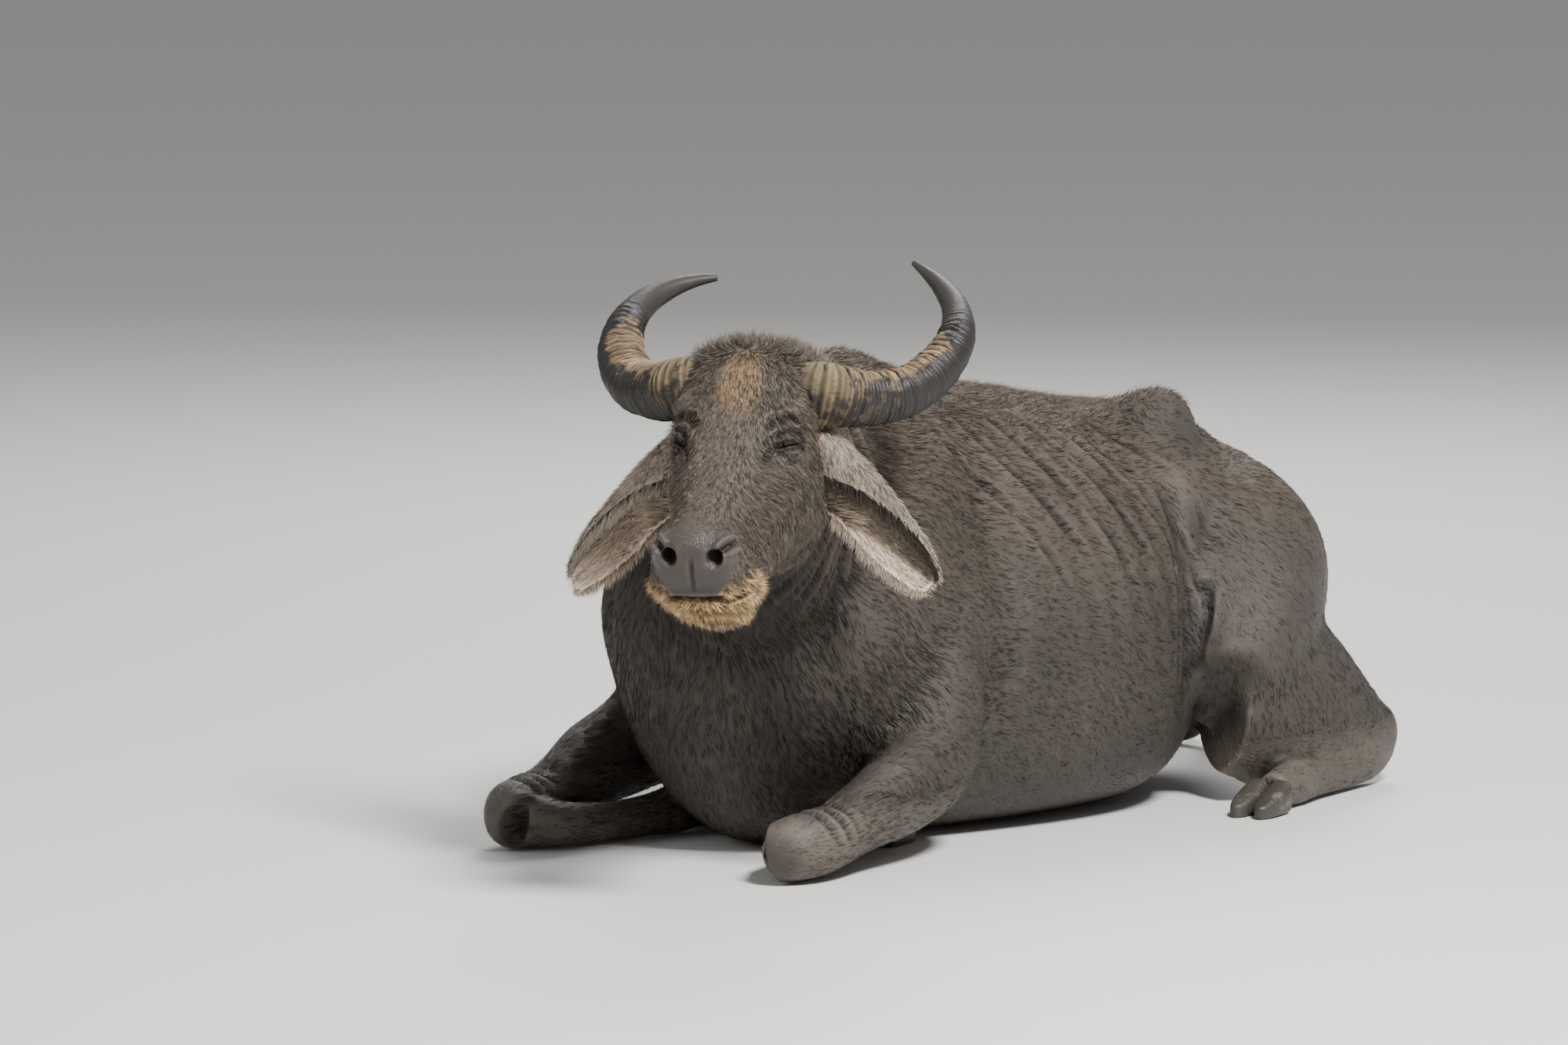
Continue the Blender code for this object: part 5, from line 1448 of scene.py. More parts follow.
    def eye(self) -> bpy.types.Material:
        """Wet dark brown eye."""
        finish = Finish("eye_wet", roughness=0.12, coat=1.0, coat_roughness=0.04)
        made, w, shader = finish.start()
        facing = w.attribute("facing").outputs["Fac"]
        pupil = w.mixed(w.span(facing, 0.93, 0.96), (0.040, 0.020, 0.010, 1.0), (0.004, 0.003, 0.003, 1.0))
        white = w.mixed(w.span(facing, 0.74, 0.66), pupil, (0.16, 0.11, 0.085, 1.0))
        w.tree.links.new(white, shader.inputs["Base Color"])
        return made

    def floor(self) -> bpy.types.Material:
        """Plain pale studio floor."""
        finish = Finish("studio_floor", roughness=0.75)
        made, _, shader = finish.start()
        shader.inputs["Base Color"].default_value = (0.72, 0.71, 0.69, 1.0)
        return made


@dataclass
class Paint:
    """Works out the hide's tone at any place from the animal's own landmarks, with painted shade and painted
    highlights.
    """

    dark: tuple[float, float, float] = (0.052, 0.0410, 0.0318)
    ears: dict[Side, tuple[Points, Points]] = field(default_factory=dict)

    def blob(self, near: Points, centre: Sequence[float], reach: Sequence[float]) -> Points:
        """A soft patch, 1 at its middle and 0 at its edge."""
        apart = (((near - np.array(centre)) / np.array(reach)) ** 2).sum(1)
        return np.clip(1 - apart, 0, 1)

    def along_mouth(self, near: Points) -> Points:
        """How far each point lies from the line between the lips."""
        line = smoothed(MOUTH, 6)
        found = np.full(len(near), 1.0)
        pick = np.flatnonzero((near[:, 0] > 0.33) & (near[:, 2] < 0.05))
        apart = np.linalg.norm(near[pick][:, None] - line[None], axis=2)
        found[pick] = apart.min(1)
        return found

    def masks(self, points: Points, normals: Points) -> dict[str, Points]:
        """Every soft mask of the markings and of the painted shade.

        Args:
            points: Places in the row frame.
            normals: The skin's way out there.

        Returns:
            Masks by name, each from 0 to 1.
        """
        near = HEAD.local(points)
        face = HEAD.face().to_3x3().inverted()
        way = normals @ np.array(face).T
        u, v, w = near.T
        in_head = HEAD.holds(points).astype(float)
        mouth = self.along_mouth(near)
        x, y, z = points.T
        step = lambda value, low, high: np.clip((value - low) / (high - low), 0, 1)
        found = {}
        wide = 0.030 + 0.042 * step(w, -0.080, -0.026)
        pad = step(u, 0.408, 0.465) * step(w, -0.084, -0.072) * step(np.abs(v) - wide, 0.007, -0.007)
        found["pad"] = pad * in_head * step(mouth, 0.004, 0.009)
        lip = step(mouth, 0.030, 0.018) * step(np.abs(v), 0.030, 0.042) * step(u, 0.418, 0.440)
        below = (w < -0.078 - 0.20 * np.abs(v)) & (mouth < 0.2)
        chin = step(u, 0.425, 0.450) * below * step(w, -0.139, -0.127) * step(np.abs(v), 0.086, 0.072)
        found["pale"] = np.clip(np.maximum(lip * (1 - found["pad"]), chin), 0, 1) * in_head
        found["brow"] = self.blob(near, (0.108, 0.004, 0.010), (0.080, 0.046, 0.06))
        found["brow"] *= 0.82 + 0.18 * np.sin(61 * u + 40 * v) * np.sin(83 * v - 30 * u + 1)
        found["mouth"] = mouth
        # Painted shade: a dark line along the line between the lips, in the crease of the mouth.
        found["head"], found["seam"] = in_head, step(mouth, 0.0115, 0.0075) * step(u, 0.385, 0.41)
        knee = ((np.stack([np.abs(x) - 0.290, y + 0.700, z - 0.045], axis=1) / (0.06, 0.055, 0.05)) ** 2).sum(1)
        found["knee"] = np.clip(1.4 * (1 - knee), 0, 1)
        # Painted shade: the hook bones of the hips are painted darker, against the key light that falls on their
        # tops.
        hook = ((np.stack([np.abs(x) - 0.22, y - 0.50, z - 0.66], axis=1) / (0.13, 0.13, 0.12)) ** 2).sum(1)
        found["hook"] = np.clip(1 - hook, 0, 1)
        found["bridge"] = self.blob(near, (0.250, 0.0, 0.004), (0.20, 0.062, 0.06))
        # Painted shade: head skin that faces down under the jaw, and the front of the chest below the neck, are
        # painted near black where shade falls.
        under = step(way[:, 2], -0.35, -0.75) * step(u, 0.42, 0.36) * in_head
        chest_front_shade = step(y, -0.34, -0.48) * step(z, 0.70, 0.60) * (1 - in_head) * step(-normals[:, 1], -0.2, 0.3)
        found["throat"] = np.maximum(under, chest_front_shade * step(z, 0.30, 0.48))
        found["rust"] = self.blob(near, (0.090, 0.118, -0.104), (0.045, 0.035, 0.04))
        found["rust"] = np.maximum(found["rust"], self.blob(near, (0.075, -0.118, -0.100), (0.04, 0.03, 0.04)))
        lids = np.maximum(*(self.blob(near, LIDS.place * Vector((1, s.value, 1)), (0.050, 0.045, 0.045))
                            for s in Side))
        found["lids"] = lids
        # Painted shade: skin along each eye's slit is painted near black, shade in the gap together with the dark
        # rims of the lids.
        found["slit"] = self.near_slits(near)
        hip = step(y, 0.30, 0.46) * step(z, 0.20, 0.36) * (np.abs(x) > 0.05)
        found["thigh"] = hip * step(normals[:, 2], 0.75, 0.2)
        # Painted shade: the inside of each nostril is painted near black.
        found["hole"] = np.maximum(*(self.blob(near, (0.490, 0.037 * s.value, -0.006), (0.030, 0.017, 0.019))
                                     for s in Side)) * in_head
        low_leg = (z < 0.125) & ((np.abs(x) > 0.15) & (y < -0.15) | (np.abs(x) > 0.36) & (y > 0.33))
        found["stocking"] = low_leg * step(z, 0.125, 0.085)
        found["tail"] = ((y > 0.93) & (z < 0.55)).astype(float)
        found["low"] = step(z, 0.46, 0.30) * (1 - in_head)
        found["back"] = step(normals[:, 2], 0.25, 0.85) * step(z, 0.45, 0.62) * (1 - in_head)
        found["ear"], found["inside"], found["cup"] = self.ear_masks(points)
        return found

    def near_slits(self, near: Points) -> Points:
        """How near each point lies to the line between the lids, 1 on the line itself, for the painted shade along
        each slit.
        """
        found = np.zeros(len(near))
        for side in Side:
            mirror = np.array((1, side.value, 1))
            line = smoothed(LIDS.line(0.0, 0.040, 0.0), 6) * mirror
            pick = np.flatnonzero(np.linalg.norm(near - line.mean(0), axis=1) < 0.06)
            apart = np.linalg.norm(near[pick][:, None] - line[None], axis=2).min(1)
            found[pick] = np.maximum(found[pick], np.clip((0.0125 - apart) / 0.006, 0, 1))
        return found

    def ear_masks(self, points: Points) -> tuple[Points, Points, Points]:
        """Which points lie on an ear, which in its cup, and which in the cup's upper part under the hood, painted
        dark as shade over dark skin.

        Args:
            points: Places in the row frame.

        Returns:
            Three masks: whole ear, inner face, and the upper part of the cup, whose dark tone is painted shade over
                dark skin.
        """
        inside, whole, dark = np.zeros(len(points)), np.zeros(len(points)), np.zeros(len(points))
        for side, (sheet, facing) in self.ears.items():
            rows, columns = sheet.shape[:2]
            flat, ways = sheet.reshape(-1, 3), facing.reshape(-1, 3)
            tree = KDTree(len(flat))
            for number, place in enumerate(flat):
                tree.insert(place, number)
            tree.balance()
            low, high = flat.min(0) - 0.01, flat.max(0) + 0.01
            for number in np.flatnonzero(((points > low) & (points < high)).all(1)):
                _, nearest, apart = tree.find(points[number])
                if apart > 0.0062:
                    continue
                along, across = nearest // columns / (rows - 1), nearest % columns / (columns - 1)
                whole[number] = 1.0
                if (points[number] - flat[nearest]) @ ways[nearest] > 0:
                    inside[number] = 1.0
                    # The upper part of the cup under the hood is marked for a near-black tone: painted shade together
                    # with the dark skin there.
                    edge = 0.51 - 0.20 * along
                    dark[number] = min(max((edge - across) / 0.06, 0.0), 1.0) * min(max((0.90 - along) / 0.15, 0.0), 1.0)
        return whole, inside, dark

    def tone(self, masks: dict[str, Points]) -> Points:
        """The hide's colour from its masks, with painted shade under the jaw and chest, over the hook bones, in the
        nostrils, the mouth's crease, the eye slits, the ears' cups and every crease, and painted highlights on the
        crests of folds.
        """
        tone = np.tile(np.array(self.dark), (len(masks["pad"]), 1))
        for name, colour, most in (
            ("head", (0.068, 0.055, 0.044), 1.0), ("back", (0.078, 0.056, 0.040), 0.75), ("thigh", (0.074, 0.062, 0.054), 0.75),
            ("low", (0.034, 0.030, 0.027), 0.5), ("stocking", (0.11, 0.092, 0.075), 0.7),
            ("bridge", (0.105, 0.084, 0.065), 0.6), ("brow", (0.27, 0.172, 0.095), 0.75),
            # Next line, painted shade: the dark tone over the hook bones.
            # Next line, painted shade: the near-black tone under the jaw and on the chest front.
            ("rust", (0.26, 0.14, 0.065), 0.8), ("throat", (0.010, 0.0085, 0.008), 0.92), ("hook", (0.022, 0.018, 0.014), 0.65),
            ("lids", (0.060, 0.050, 0.042), 0.5), ("ear", (0.24, 0.200, 0.158), 0.9),
            # Next line: the near-black tone in the ears' cups is painted shade over dark skin; the pale tone is the
            # inner ear's own.
            ("inside", (0.47, 0.380, 0.290), 0.94), ("cup", (0.026, 0.018, 0.013), 0.96),
            # Next line, painted shade: the dark line in the mouth's crease; the pale tone is the lips' and chin's own
            # hair.
            # Next line, painted shade: the near-black band along each eye's slit.
            ("pale", (0.395, 0.275, 0.140), 0.94), ("seam", (0.012, 0.009, 0.008), 0.95), ("slit", (0.008, 0.007, 0.007), 0.92),
            # Next line: the nostrils' near-black tone is painted shade; the nose pad's tone is its own.
            ("pad", (0.048, 0.039, 0.034), 1.0), ("hole", (0.004, 0.003, 0.003), 1.0),
            ("tail", (0.030, 0.026, 0.022), 0.6), ("knee", (0.040, 0.033, 0.028), 0.9),
        ):
            share = (masks[name] * most)[:, None]
            tone = tone * (1 - share) + np.array(colour) * share
        # Painted shade and painted highlights: creases are darkened and the crests of folds lightened by the skin's
        # curvature.
        hollow = masks["hollow"]
        return tone * (1 - 0.62 * np.clip(hollow, 0, 1) + 0.55 * np.clip(-hollow, 0, 1))[:, None]

    def hollows(self, thing: bpy.types.Object) -> Points:
        """How hollow the skin is at each point: 1 in a crease, below 0 on the crest of a fold, for painted shade in
        creases and painted highlights on crests.
        """
        points, normals = points_of(thing), normals_of(thing)
        ends = np.empty(len(thing.data.edges) * 2, np.int32)
        thing.data.edges.foreach_get("vertices", ends)
        a, b = ends.reshape(-1, 2).T
        ends, others = np.concatenate([a, b]), np.concatenate([b, a])
        count = np.maximum(np.bincount(ends, minlength=len(points)), 1)
        mean = lambda values: np.bincount(ends, values[others], len(points)) / count
        apart = points[others] - points[ends]
        rise = np.bincount(ends, (apart * normals[ends]).sum(1), len(points)) / count
        reach = np.bincount(ends, (apart**2).sum(1), len(points)) / count
        bend = 2 * rise / np.maximum(reach, 1e-9)
        for _ in range(3):
            bend = 0.4 * bend + 0.6 * mean(bend)
        scale = np.where(HEAD.holds(points), 55.0, 22.0)
        return np.clip(bend / scale, -1, 1) * (np.abs(bend) > 3.0)

    def wet(self, masks: dict[str, Points]) -> Points:
        """How wet and bare the skin shows."""
        return np.clip(masks["pad"] + 0.45 * masks["thigh"] + 0.35 * masks["lids"] + 0.25 * masks["low"], 0, 1)

    def dress(self, thing: bpy.types.Object) -> dict[str, Points]:
        """Stores the tone and the wetness on a mesh and gives its masks."""
        masks = self.masks(points_of(thing), normals_of(thing))
        # The skin's curvature, for painted shade in creases and painted highlights on fold crests.
        masks["hollow"] = self.hollows(thing)
        put_values(thing, "tone", self.tone(masks))
        put_values(thing, "wet", self.wet(masks))
        return masks


def step(values: Points, low: float, high: float) -> Points:
    """Rises from 0 at low to 1 at high, or falls where low is above high."""
    return np.clip((values - low) / (high - low), 0, 1)


def unit(vectors: Points) -> Points:
    """The vectors at a length of one."""
    return vectors / np.maximum(np.linalg.norm(vectors, axis=-1, keepdims=True), 1e-9)


def mixed_rows(first: Points, second: Points, share: Points) -> Points:
    """Rows of first turned towards rows of second by each row's share."""
    return first * (1 - share[:, None]) + second * share[:, None]


def shift(thing: bpy.types.NodeTree, name: str, kind: str, way: str = "INPUT") -> object:
    """Adds a named socket to a tree's outside."""
    return thing.interface.new_socket(name, in_out=way, socket_type=kind)


@dataclass
class Roots:
    """Roots of hairs: where they stand, the way they run, and the size and colour of each."""

    places: Points
    ways: Points
    faces: Points
    sizes: Points
    tones: Points
    tips: Points
    marks: Points

    def part(self, pick: np.ndarray | slice) -> "Roots":
        """Some of the roots."""
        return Roots(*(getattr(self, item.name)[pick] for item in fields(self)))


class Skin:
    """The finished skin as arrays, for hair to be rooted on."""

    def __init__(self, thing: bpy.types.Object) -> None:
        """Unwraps the skin by its own shape and reads it.

        Args:
            thing: The hide, with its tone stored on its points.
        """
        self.unwrap(thing)
        mesh = thing.data
        mesh.calc_loop_triangles()
        corners = np.empty(len(mesh.loop_triangles) * 3, np.int32)
        mesh.loop_triangles.foreach_get("vertices", corners)
        loops = np.empty_like(corners)
        mesh.loop_triangles.foreach_get("loops", loops)
        marks = np.empty(len(mesh.loops) * 2, np.float32)
        mesh.uv_layers[0].uv.foreach_get("vector", marks)
        self.corners = corners.reshape(-1, 3)
        self.marks = marks.reshape(-1, 2)[loops.reshape(-1, 3)]
        self.points, self.normals = points_of(thing), normals_of(thing)
        a, b, c = (self.points[self.corners[:, k]] for k in range(3))
        self.areas = np.linalg.norm(np.cross(b - a, c - a), axis=1) / 2
        self.mark_of = np.zeros((len(self.points), 2))
        self.mark_of[self.corners.ravel()] = self.marks.reshape(-1, 2)
        self.tree = KDTree(len(self.points))
        for number, place in enumerate(self.points):
            self.tree.insert(place, number)
        self.tree.balance()
        self.shell = BVHTree.FromPolygons(self.points.tolist(), self.corners.tolist())

    def heights(self, places: Points) -> Points:
        """How far each place stands off the skin, negative within it."""
        found = np.zeros(len(places))
        for number, place in enumerate(places):
            near, out, _, _ = self.shell.find_nearest(place)
            found[number] = (Vector(place) - near).dot(out)
        return found

    def unwrap(self, thing: bpy.types.Object) -> None:
        """Lays the skin out flat in small islands that don't overlap."""
        for other in bpy.context.view_layer.objects:
            other.select_set(other is thing)
        bpy.context.view_layer.objects.active = thing
        bpy.ops.object.mode_set(mode="EDIT")
        bpy.ops.mesh.select_all(action="SELECT")
        bpy.ops.uv.smart_project(angle_limit=1.15, island_margin=0.0)
        bpy.ops.object.mode_set(mode="OBJECT")
        thing.data.uv_layers[0].name = "SkinMap"

    def scatter(self, weight: Points, count: int, draw: np.random.Generator) -> tuple[np.ndarray, Points]:
        """Picks places on the skin.

        Args:
            weight: How thickly hair stands at each point of the skin.
            count: How many places to pick.
            draw: The seeded draw.

        Returns:
            The triangle of each place and its shares of the triangle's corners.
        """
        chance = self.areas * weight[self.corners].mean(1)
        picked = draw.choice(len(chance), count, p=chance / chance.sum())
        first, second = draw.random((2, count))
        over = first + second > 1
        first[over], second[over] = 1 - first[over], 1 - second[over]
        return picked, np.stack([1 - first - second, first, second], axis=1)

    def blend(self, values: Points, picked: np.ndarray, share: Points) -> Points:
        """Values told at the skin's points, at the picked places."""
        found = values[self.corners[picked]]
        return (found * (share if found.ndim == 2 else share[..., None])).sum(1)

    def nearest(self, places: Points) -> np.ndarray:
        """The number of the skin's point nearest to each place."""
        return np.array([self.tree.find(place)[1] for place in places])


@dataclass
class Lay:
    """Which way the coat lies at each place, by region."""

    def face(self, near: Points, out: Points) -> Points:
        """The lie on the head, in the face's frame.

        Args:
            near: Places in the face's frame.
            out: The skin's way out there.

        Returns:
            The way of the hair, not yet laid on the skin.
        """
        u, v, w = near.T
        one, none = np.ones_like(u), np.zeros_like(u)
        spread = np.sign(v) * step(np.abs(v), 0, 0.09)
        found = np.stack([one, 0.9 * spread * step(u, 0.34, 0.02), -0.25 * one], axis=1)
        cheek = np.stack([-0.15 + 0.75 * step(u, 0.28, 0.40), none, -one], axis=1)
        found = mixed_rows(found, cheek, step(np.abs(out[:, 1]), 0.35, 0.85))
        crown = np.stack([-one, 0.6 * spread, 0.7 * one], axis=1)
        found = mixed_rows(found, crown, step(u, 0.075, 0.015))
        jaw = np.stack([-0.9 * one, none, -0.3 * one], axis=1)
        found = mixed_rows(found, jaw, step(-out[:, 2], 0.45, 0.8) * step(u, 0.44, 0.36))
        lip = np.stack([0.55 * one, 0.6 * np.sign(v), -0.7 * one], axis=1)
        found = mixed_rows(found, lip, step(u, 0.38, 0.43) * step(w, -0.03, -0.06))
        chin = np.stack([0.45 * one, 0.35 * spread, -one], axis=1)
        return mixed_rows(found, chin, step(u, 0.38, 0.43) * step(w, -0.10, -0.125))

    def trunk(self, points: Points, out: Points) -> Points:
        """The lie on the neck, trunk, legs and tail, in the row frame."""
        x, y, z = points.T
        one, none = np.ones_like(x), np.zeros_like(x)
        found = np.stack([0.10 * np.sign(x), 0.85 * one, -0.50 * one], axis=1)
        found = mixed_rows(found, np.stack([none, 0.65 * one, -0.75 * one], axis=1), step(y, -0.20, -0.42))
        found = mixed_rows(found, np.stack([none, 0.2 * one, -one], axis=1), step(-out[:, 1], 0.45, 0.8))
        thigh = (np.abs(x) > 0.2) & (y > 0.35) & (z < 0.56)
        found = mixed_rows(found, np.stack([none, 0.45 * one, -one], axis=1), thigh * 0.9)
        fore = (z < 0.13) & (y < -0.15) & (np.abs(x) > 0.14)
        found = mixed_rows(found, np.stack([none, one, -0.1 * one], axis=1), fore * 1.0)
        hind = (z < 0.125) & (y > 0.33) & (np.abs(x) > 0.36)
        found = mixed_rows(found, np.stack([none, -one, -0.1 * one], axis=1), hind * 1.0)
        tail = (y > 0.93) & (np.abs(x) < 0.2)
        found = mixed_rows(found, np.stack([none, none, -one], axis=1), tail * 1.0)
        return mixed_rows(found, np.stack([-one, -0.2 * one, none], axis=1), tail * step(z, 0.09, 0.04))

    def ways(self, points: Points, normals: Points, ear: Points) -> Points:
        """The lie everywhere, in the row frame.

        Args:
            points: Places on the skin.
            normals: The way out there.
            ear: Which places lie on an ear.

        Returns:
            The way of the hair along the skin.
        """
        turn = np.array(HEAD.face().to_3x3())
        head = self.face(HEAD.local(points), normals @ turn) @ turn.T
        level = np.array(HEAD.level().inverted())
        behind = (points @ level[:3, :3].T + level[:3, 3])
        share = HEAD.holds(points) * step(behind[:, 1], 0.13, 0.05)
        found = mixed_rows(unit(self.trunk(points, normals)), unit(head), share)
        droop = np.stack([0.66 * np.sign(behind[:, 0]), 0 * ear, -0.75 + 0 * ear], axis=1)
        found = mixed_rows(found, droop @ np.array(HEAD.level().to_3x3()).T, ear)
        found = unit(found - normals * (found * normals).sum(1)[:, None])
        x, y, z = points.T
        swirl = 0.30 * np.sin(9 * x + 5 * y + 2) * np.sin(8 * y - 6 * z + 1)
        swirl += 0.16 * np.sin(31 * x - 19 * z + 27 * y) + 0.10 * np.sin(57 * y + 43 * z)
        return found * np.cos(swirl)[:, None] + np.cross(normals, found) * np.sin(swirl)[:, None]


class Tufts:
    """Grows tufts from roots: bent, tapered solid hairs, each a closed mesh."""

    limit = 195000

    def __init__(self) -> None:
        """Builds the one node tree that all hair is grown by."""
        self.tree = bpy.data.node_groups.new("tufts", "GeometryNodeTree")
        into = {name: shift(self.tree, name, kind) for name, kind in (
            ("Geometry", "NodeSocketGeometry"), ("Segments", "NodeSocketInt"), ("Bend", VALUE),
            ("Patch", VALUE), ("Finish", "NodeSocketMaterial"))}
        self.keys = {name: socket.identifier for name, socket in into.items()}
        shift(self.tree, "Geometry", "NodeSocketGeometry", "OUTPUT")
        w = Wires(self.tree)
        given, result = w.node("NodeGroupInput"), w.node("NodeGroupOutput")
        blade = w.node("GeometryNodeMeshCone", {"Vertices": 3, "Side Segments": given.outputs["Segments"],
                                                "Radius Top": 0.0, "Radius Bottom": 0.5, "Depth": 1.0})
        place = w.node("ShaderNodeSeparateXYZ", {"0": w.node("GeometryNodeInputPosition").outputs[0]})
        high = place.outputs["Z"]
        noted = w.node("GeometryNodeStoreNamedAttribute",
                       {"Geometry": blade.outputs["Mesh"], "Name": "along", "Value": high},
                       data_type="FLOAT", domain="POINT")
        spot = w.node("ShaderNodeCombineXYZ", {"0": place.outputs["X"], "1": w.math("SUBTRACT", high, 0.5)})
        noted = w.node("GeometryNodeStoreNamedAttribute",
                       {"Geometry": noted.outputs[0], "Name": "spot", "Value": spot.outputs[0]},
                       data_type="FLOAT_VECTOR", domain="POINT")
        lean = w.math("MULTIPLY", w.math("MULTIPLY", high, high), w.math("MULTIPLY", given.outputs["Bend"], -1.0))
        bent = w.node("GeometryNodeSetPosition", {
            "Geometry": noted.outputs[0], "Offset": w.node("ShaderNodeCombineXYZ", {"0": lean}).outputs[0]})
        turn = w.node("FunctionNodeAxesToRotation", {
            "Primary Axis": self.named(w, "way"), "Secondary Axis": self.named(w, "face")},
            primary_axis="Z", secondary_axis="X")
        grown = w.node("GeometryNodeInstanceOnPoints", {
            "Points": given.outputs["Geometry"], "Instance": bent.outputs[0],
            "Rotation": turn.outputs[0], "Scale": self.named(w, "size")})
        real = w.node("GeometryNodeRealizeInstances", {"Geometry": grown.outputs[0]})
        patch = w.node("ShaderNodeVectorMath", {"0": self.named(w, "spot")}, operation="SCALE")
        self.tree.links.new(given.outputs["Patch"], patch.inputs["Scale"])
        mark = w.node("ShaderNodeVectorMath", {"0": self.named(w, "mark"), "1": patch.outputs[0]})
        mapped = w.node("GeometryNodeStoreNamedAttribute",
                        {"Geometry": real.outputs[0], "Name": "OFBake", "Value": mark.outputs[0]},
                        data_type="FLOAT2", domain="CORNER")
        dressed = w.node("GeometryNodeSetMaterial", {"Geometry": mapped.outputs[0],
                                                     "Material": given.outputs["Finish"]})
        self.tree.links.new(dressed.outputs[0], result.inputs[0])

    def named(self, w: Wires, name: str) -> bpy.types.NodeSocket:
        """Reads a stored vector."""
        return w.node("GeometryNodeInputNamedAttribute", {"Name": name}, data_type="FLOAT_VECTOR").outputs[0]

    def grow(self, name: str, roots: Roots, finish: bpy.types.Material, segments: int,
             bend: float) -> list[bpy.types.Object]:
        """Grows one piece of coat, in as many meshes as keep each small enough.

        Args:
            name: The piece's name, which numbers are added to.
            roots: Where and how its hairs stand.
            finish: Its material.
            segments: How many segments each hair bends in.
            bend: How far a hair's tip leans, in its own thicknesses.

        Returns:
            The finished meshes.
        """
        each = 6 * segments - 2
        made = []
        for number, start in enumerate(range(0, len(roots.places), self.limit // each)):
            made.append(self.piece("%s_%d" % (name, number + 1), roots.part(slice(start, start + self.limit // each)),
                                   finish, segments, bend))
        return made

    def piece(self, name: str, roots: Roots, finish: bpy.types.Material, segments: int,
              bend: float) -> bpy.types.Object:
        """Grows the hairs of one mesh."""
        mesh = bpy.data.meshes.new(name + "_roots")
        mesh.from_pydata(roots.places.tolist(), [], [])
        seeds = bpy.data.objects.new(name + "_roots", mesh)
        bpy.context.scene.collection.objects.link(seeds)
        marks = np.hstack([roots.marks, np.zeros((len(roots.marks), 1))])
        for key, values in (("way", roots.ways), ("face", roots.faces), ("size", roots.sizes),
                            ("tone", roots.tones), ("tip_tone", roots.tips), ("mark", marks)):
            put_values(seeds, key, values)
        grower = seeds.modifiers.new("Grow", "NODES")
        grower.node_group = self.tree
        for key, value in (("Segments", segments), ("Bend", bend), ("Patch", 0.003), ("Finish", finish)):
            grower[self.keys[key]] = value
        graph = bpy.context.evaluated_depsgraph_get()
        graph.update()
        grown = bpy.data.meshes.new_from_object(seeds.evaluated_get(graph))
        bpy.data.objects.remove(seeds)
        for spare in ("spot", "mark", "way", "face", "size"):
            if spare in grown.attributes:
                grown.attributes.remove(grown.attributes[spare])
        made = bpy.data.objects.new(name, grown)
        bpy.context.scene.collection.objects.link(made)
        shade_smooth(made)
        return made


@dataclass(frozen=True)
class Pelt:
    """One growth of hair over the skin: how many hairs, how wide, how bent and how they vary."""

    name: str
    count: int
    width: float
    segments: int
    bend: float
    seed: int
    stray: float = 0.16
    clump: int = 6
    pull: float = 0.45
    patchy: float = 1.0


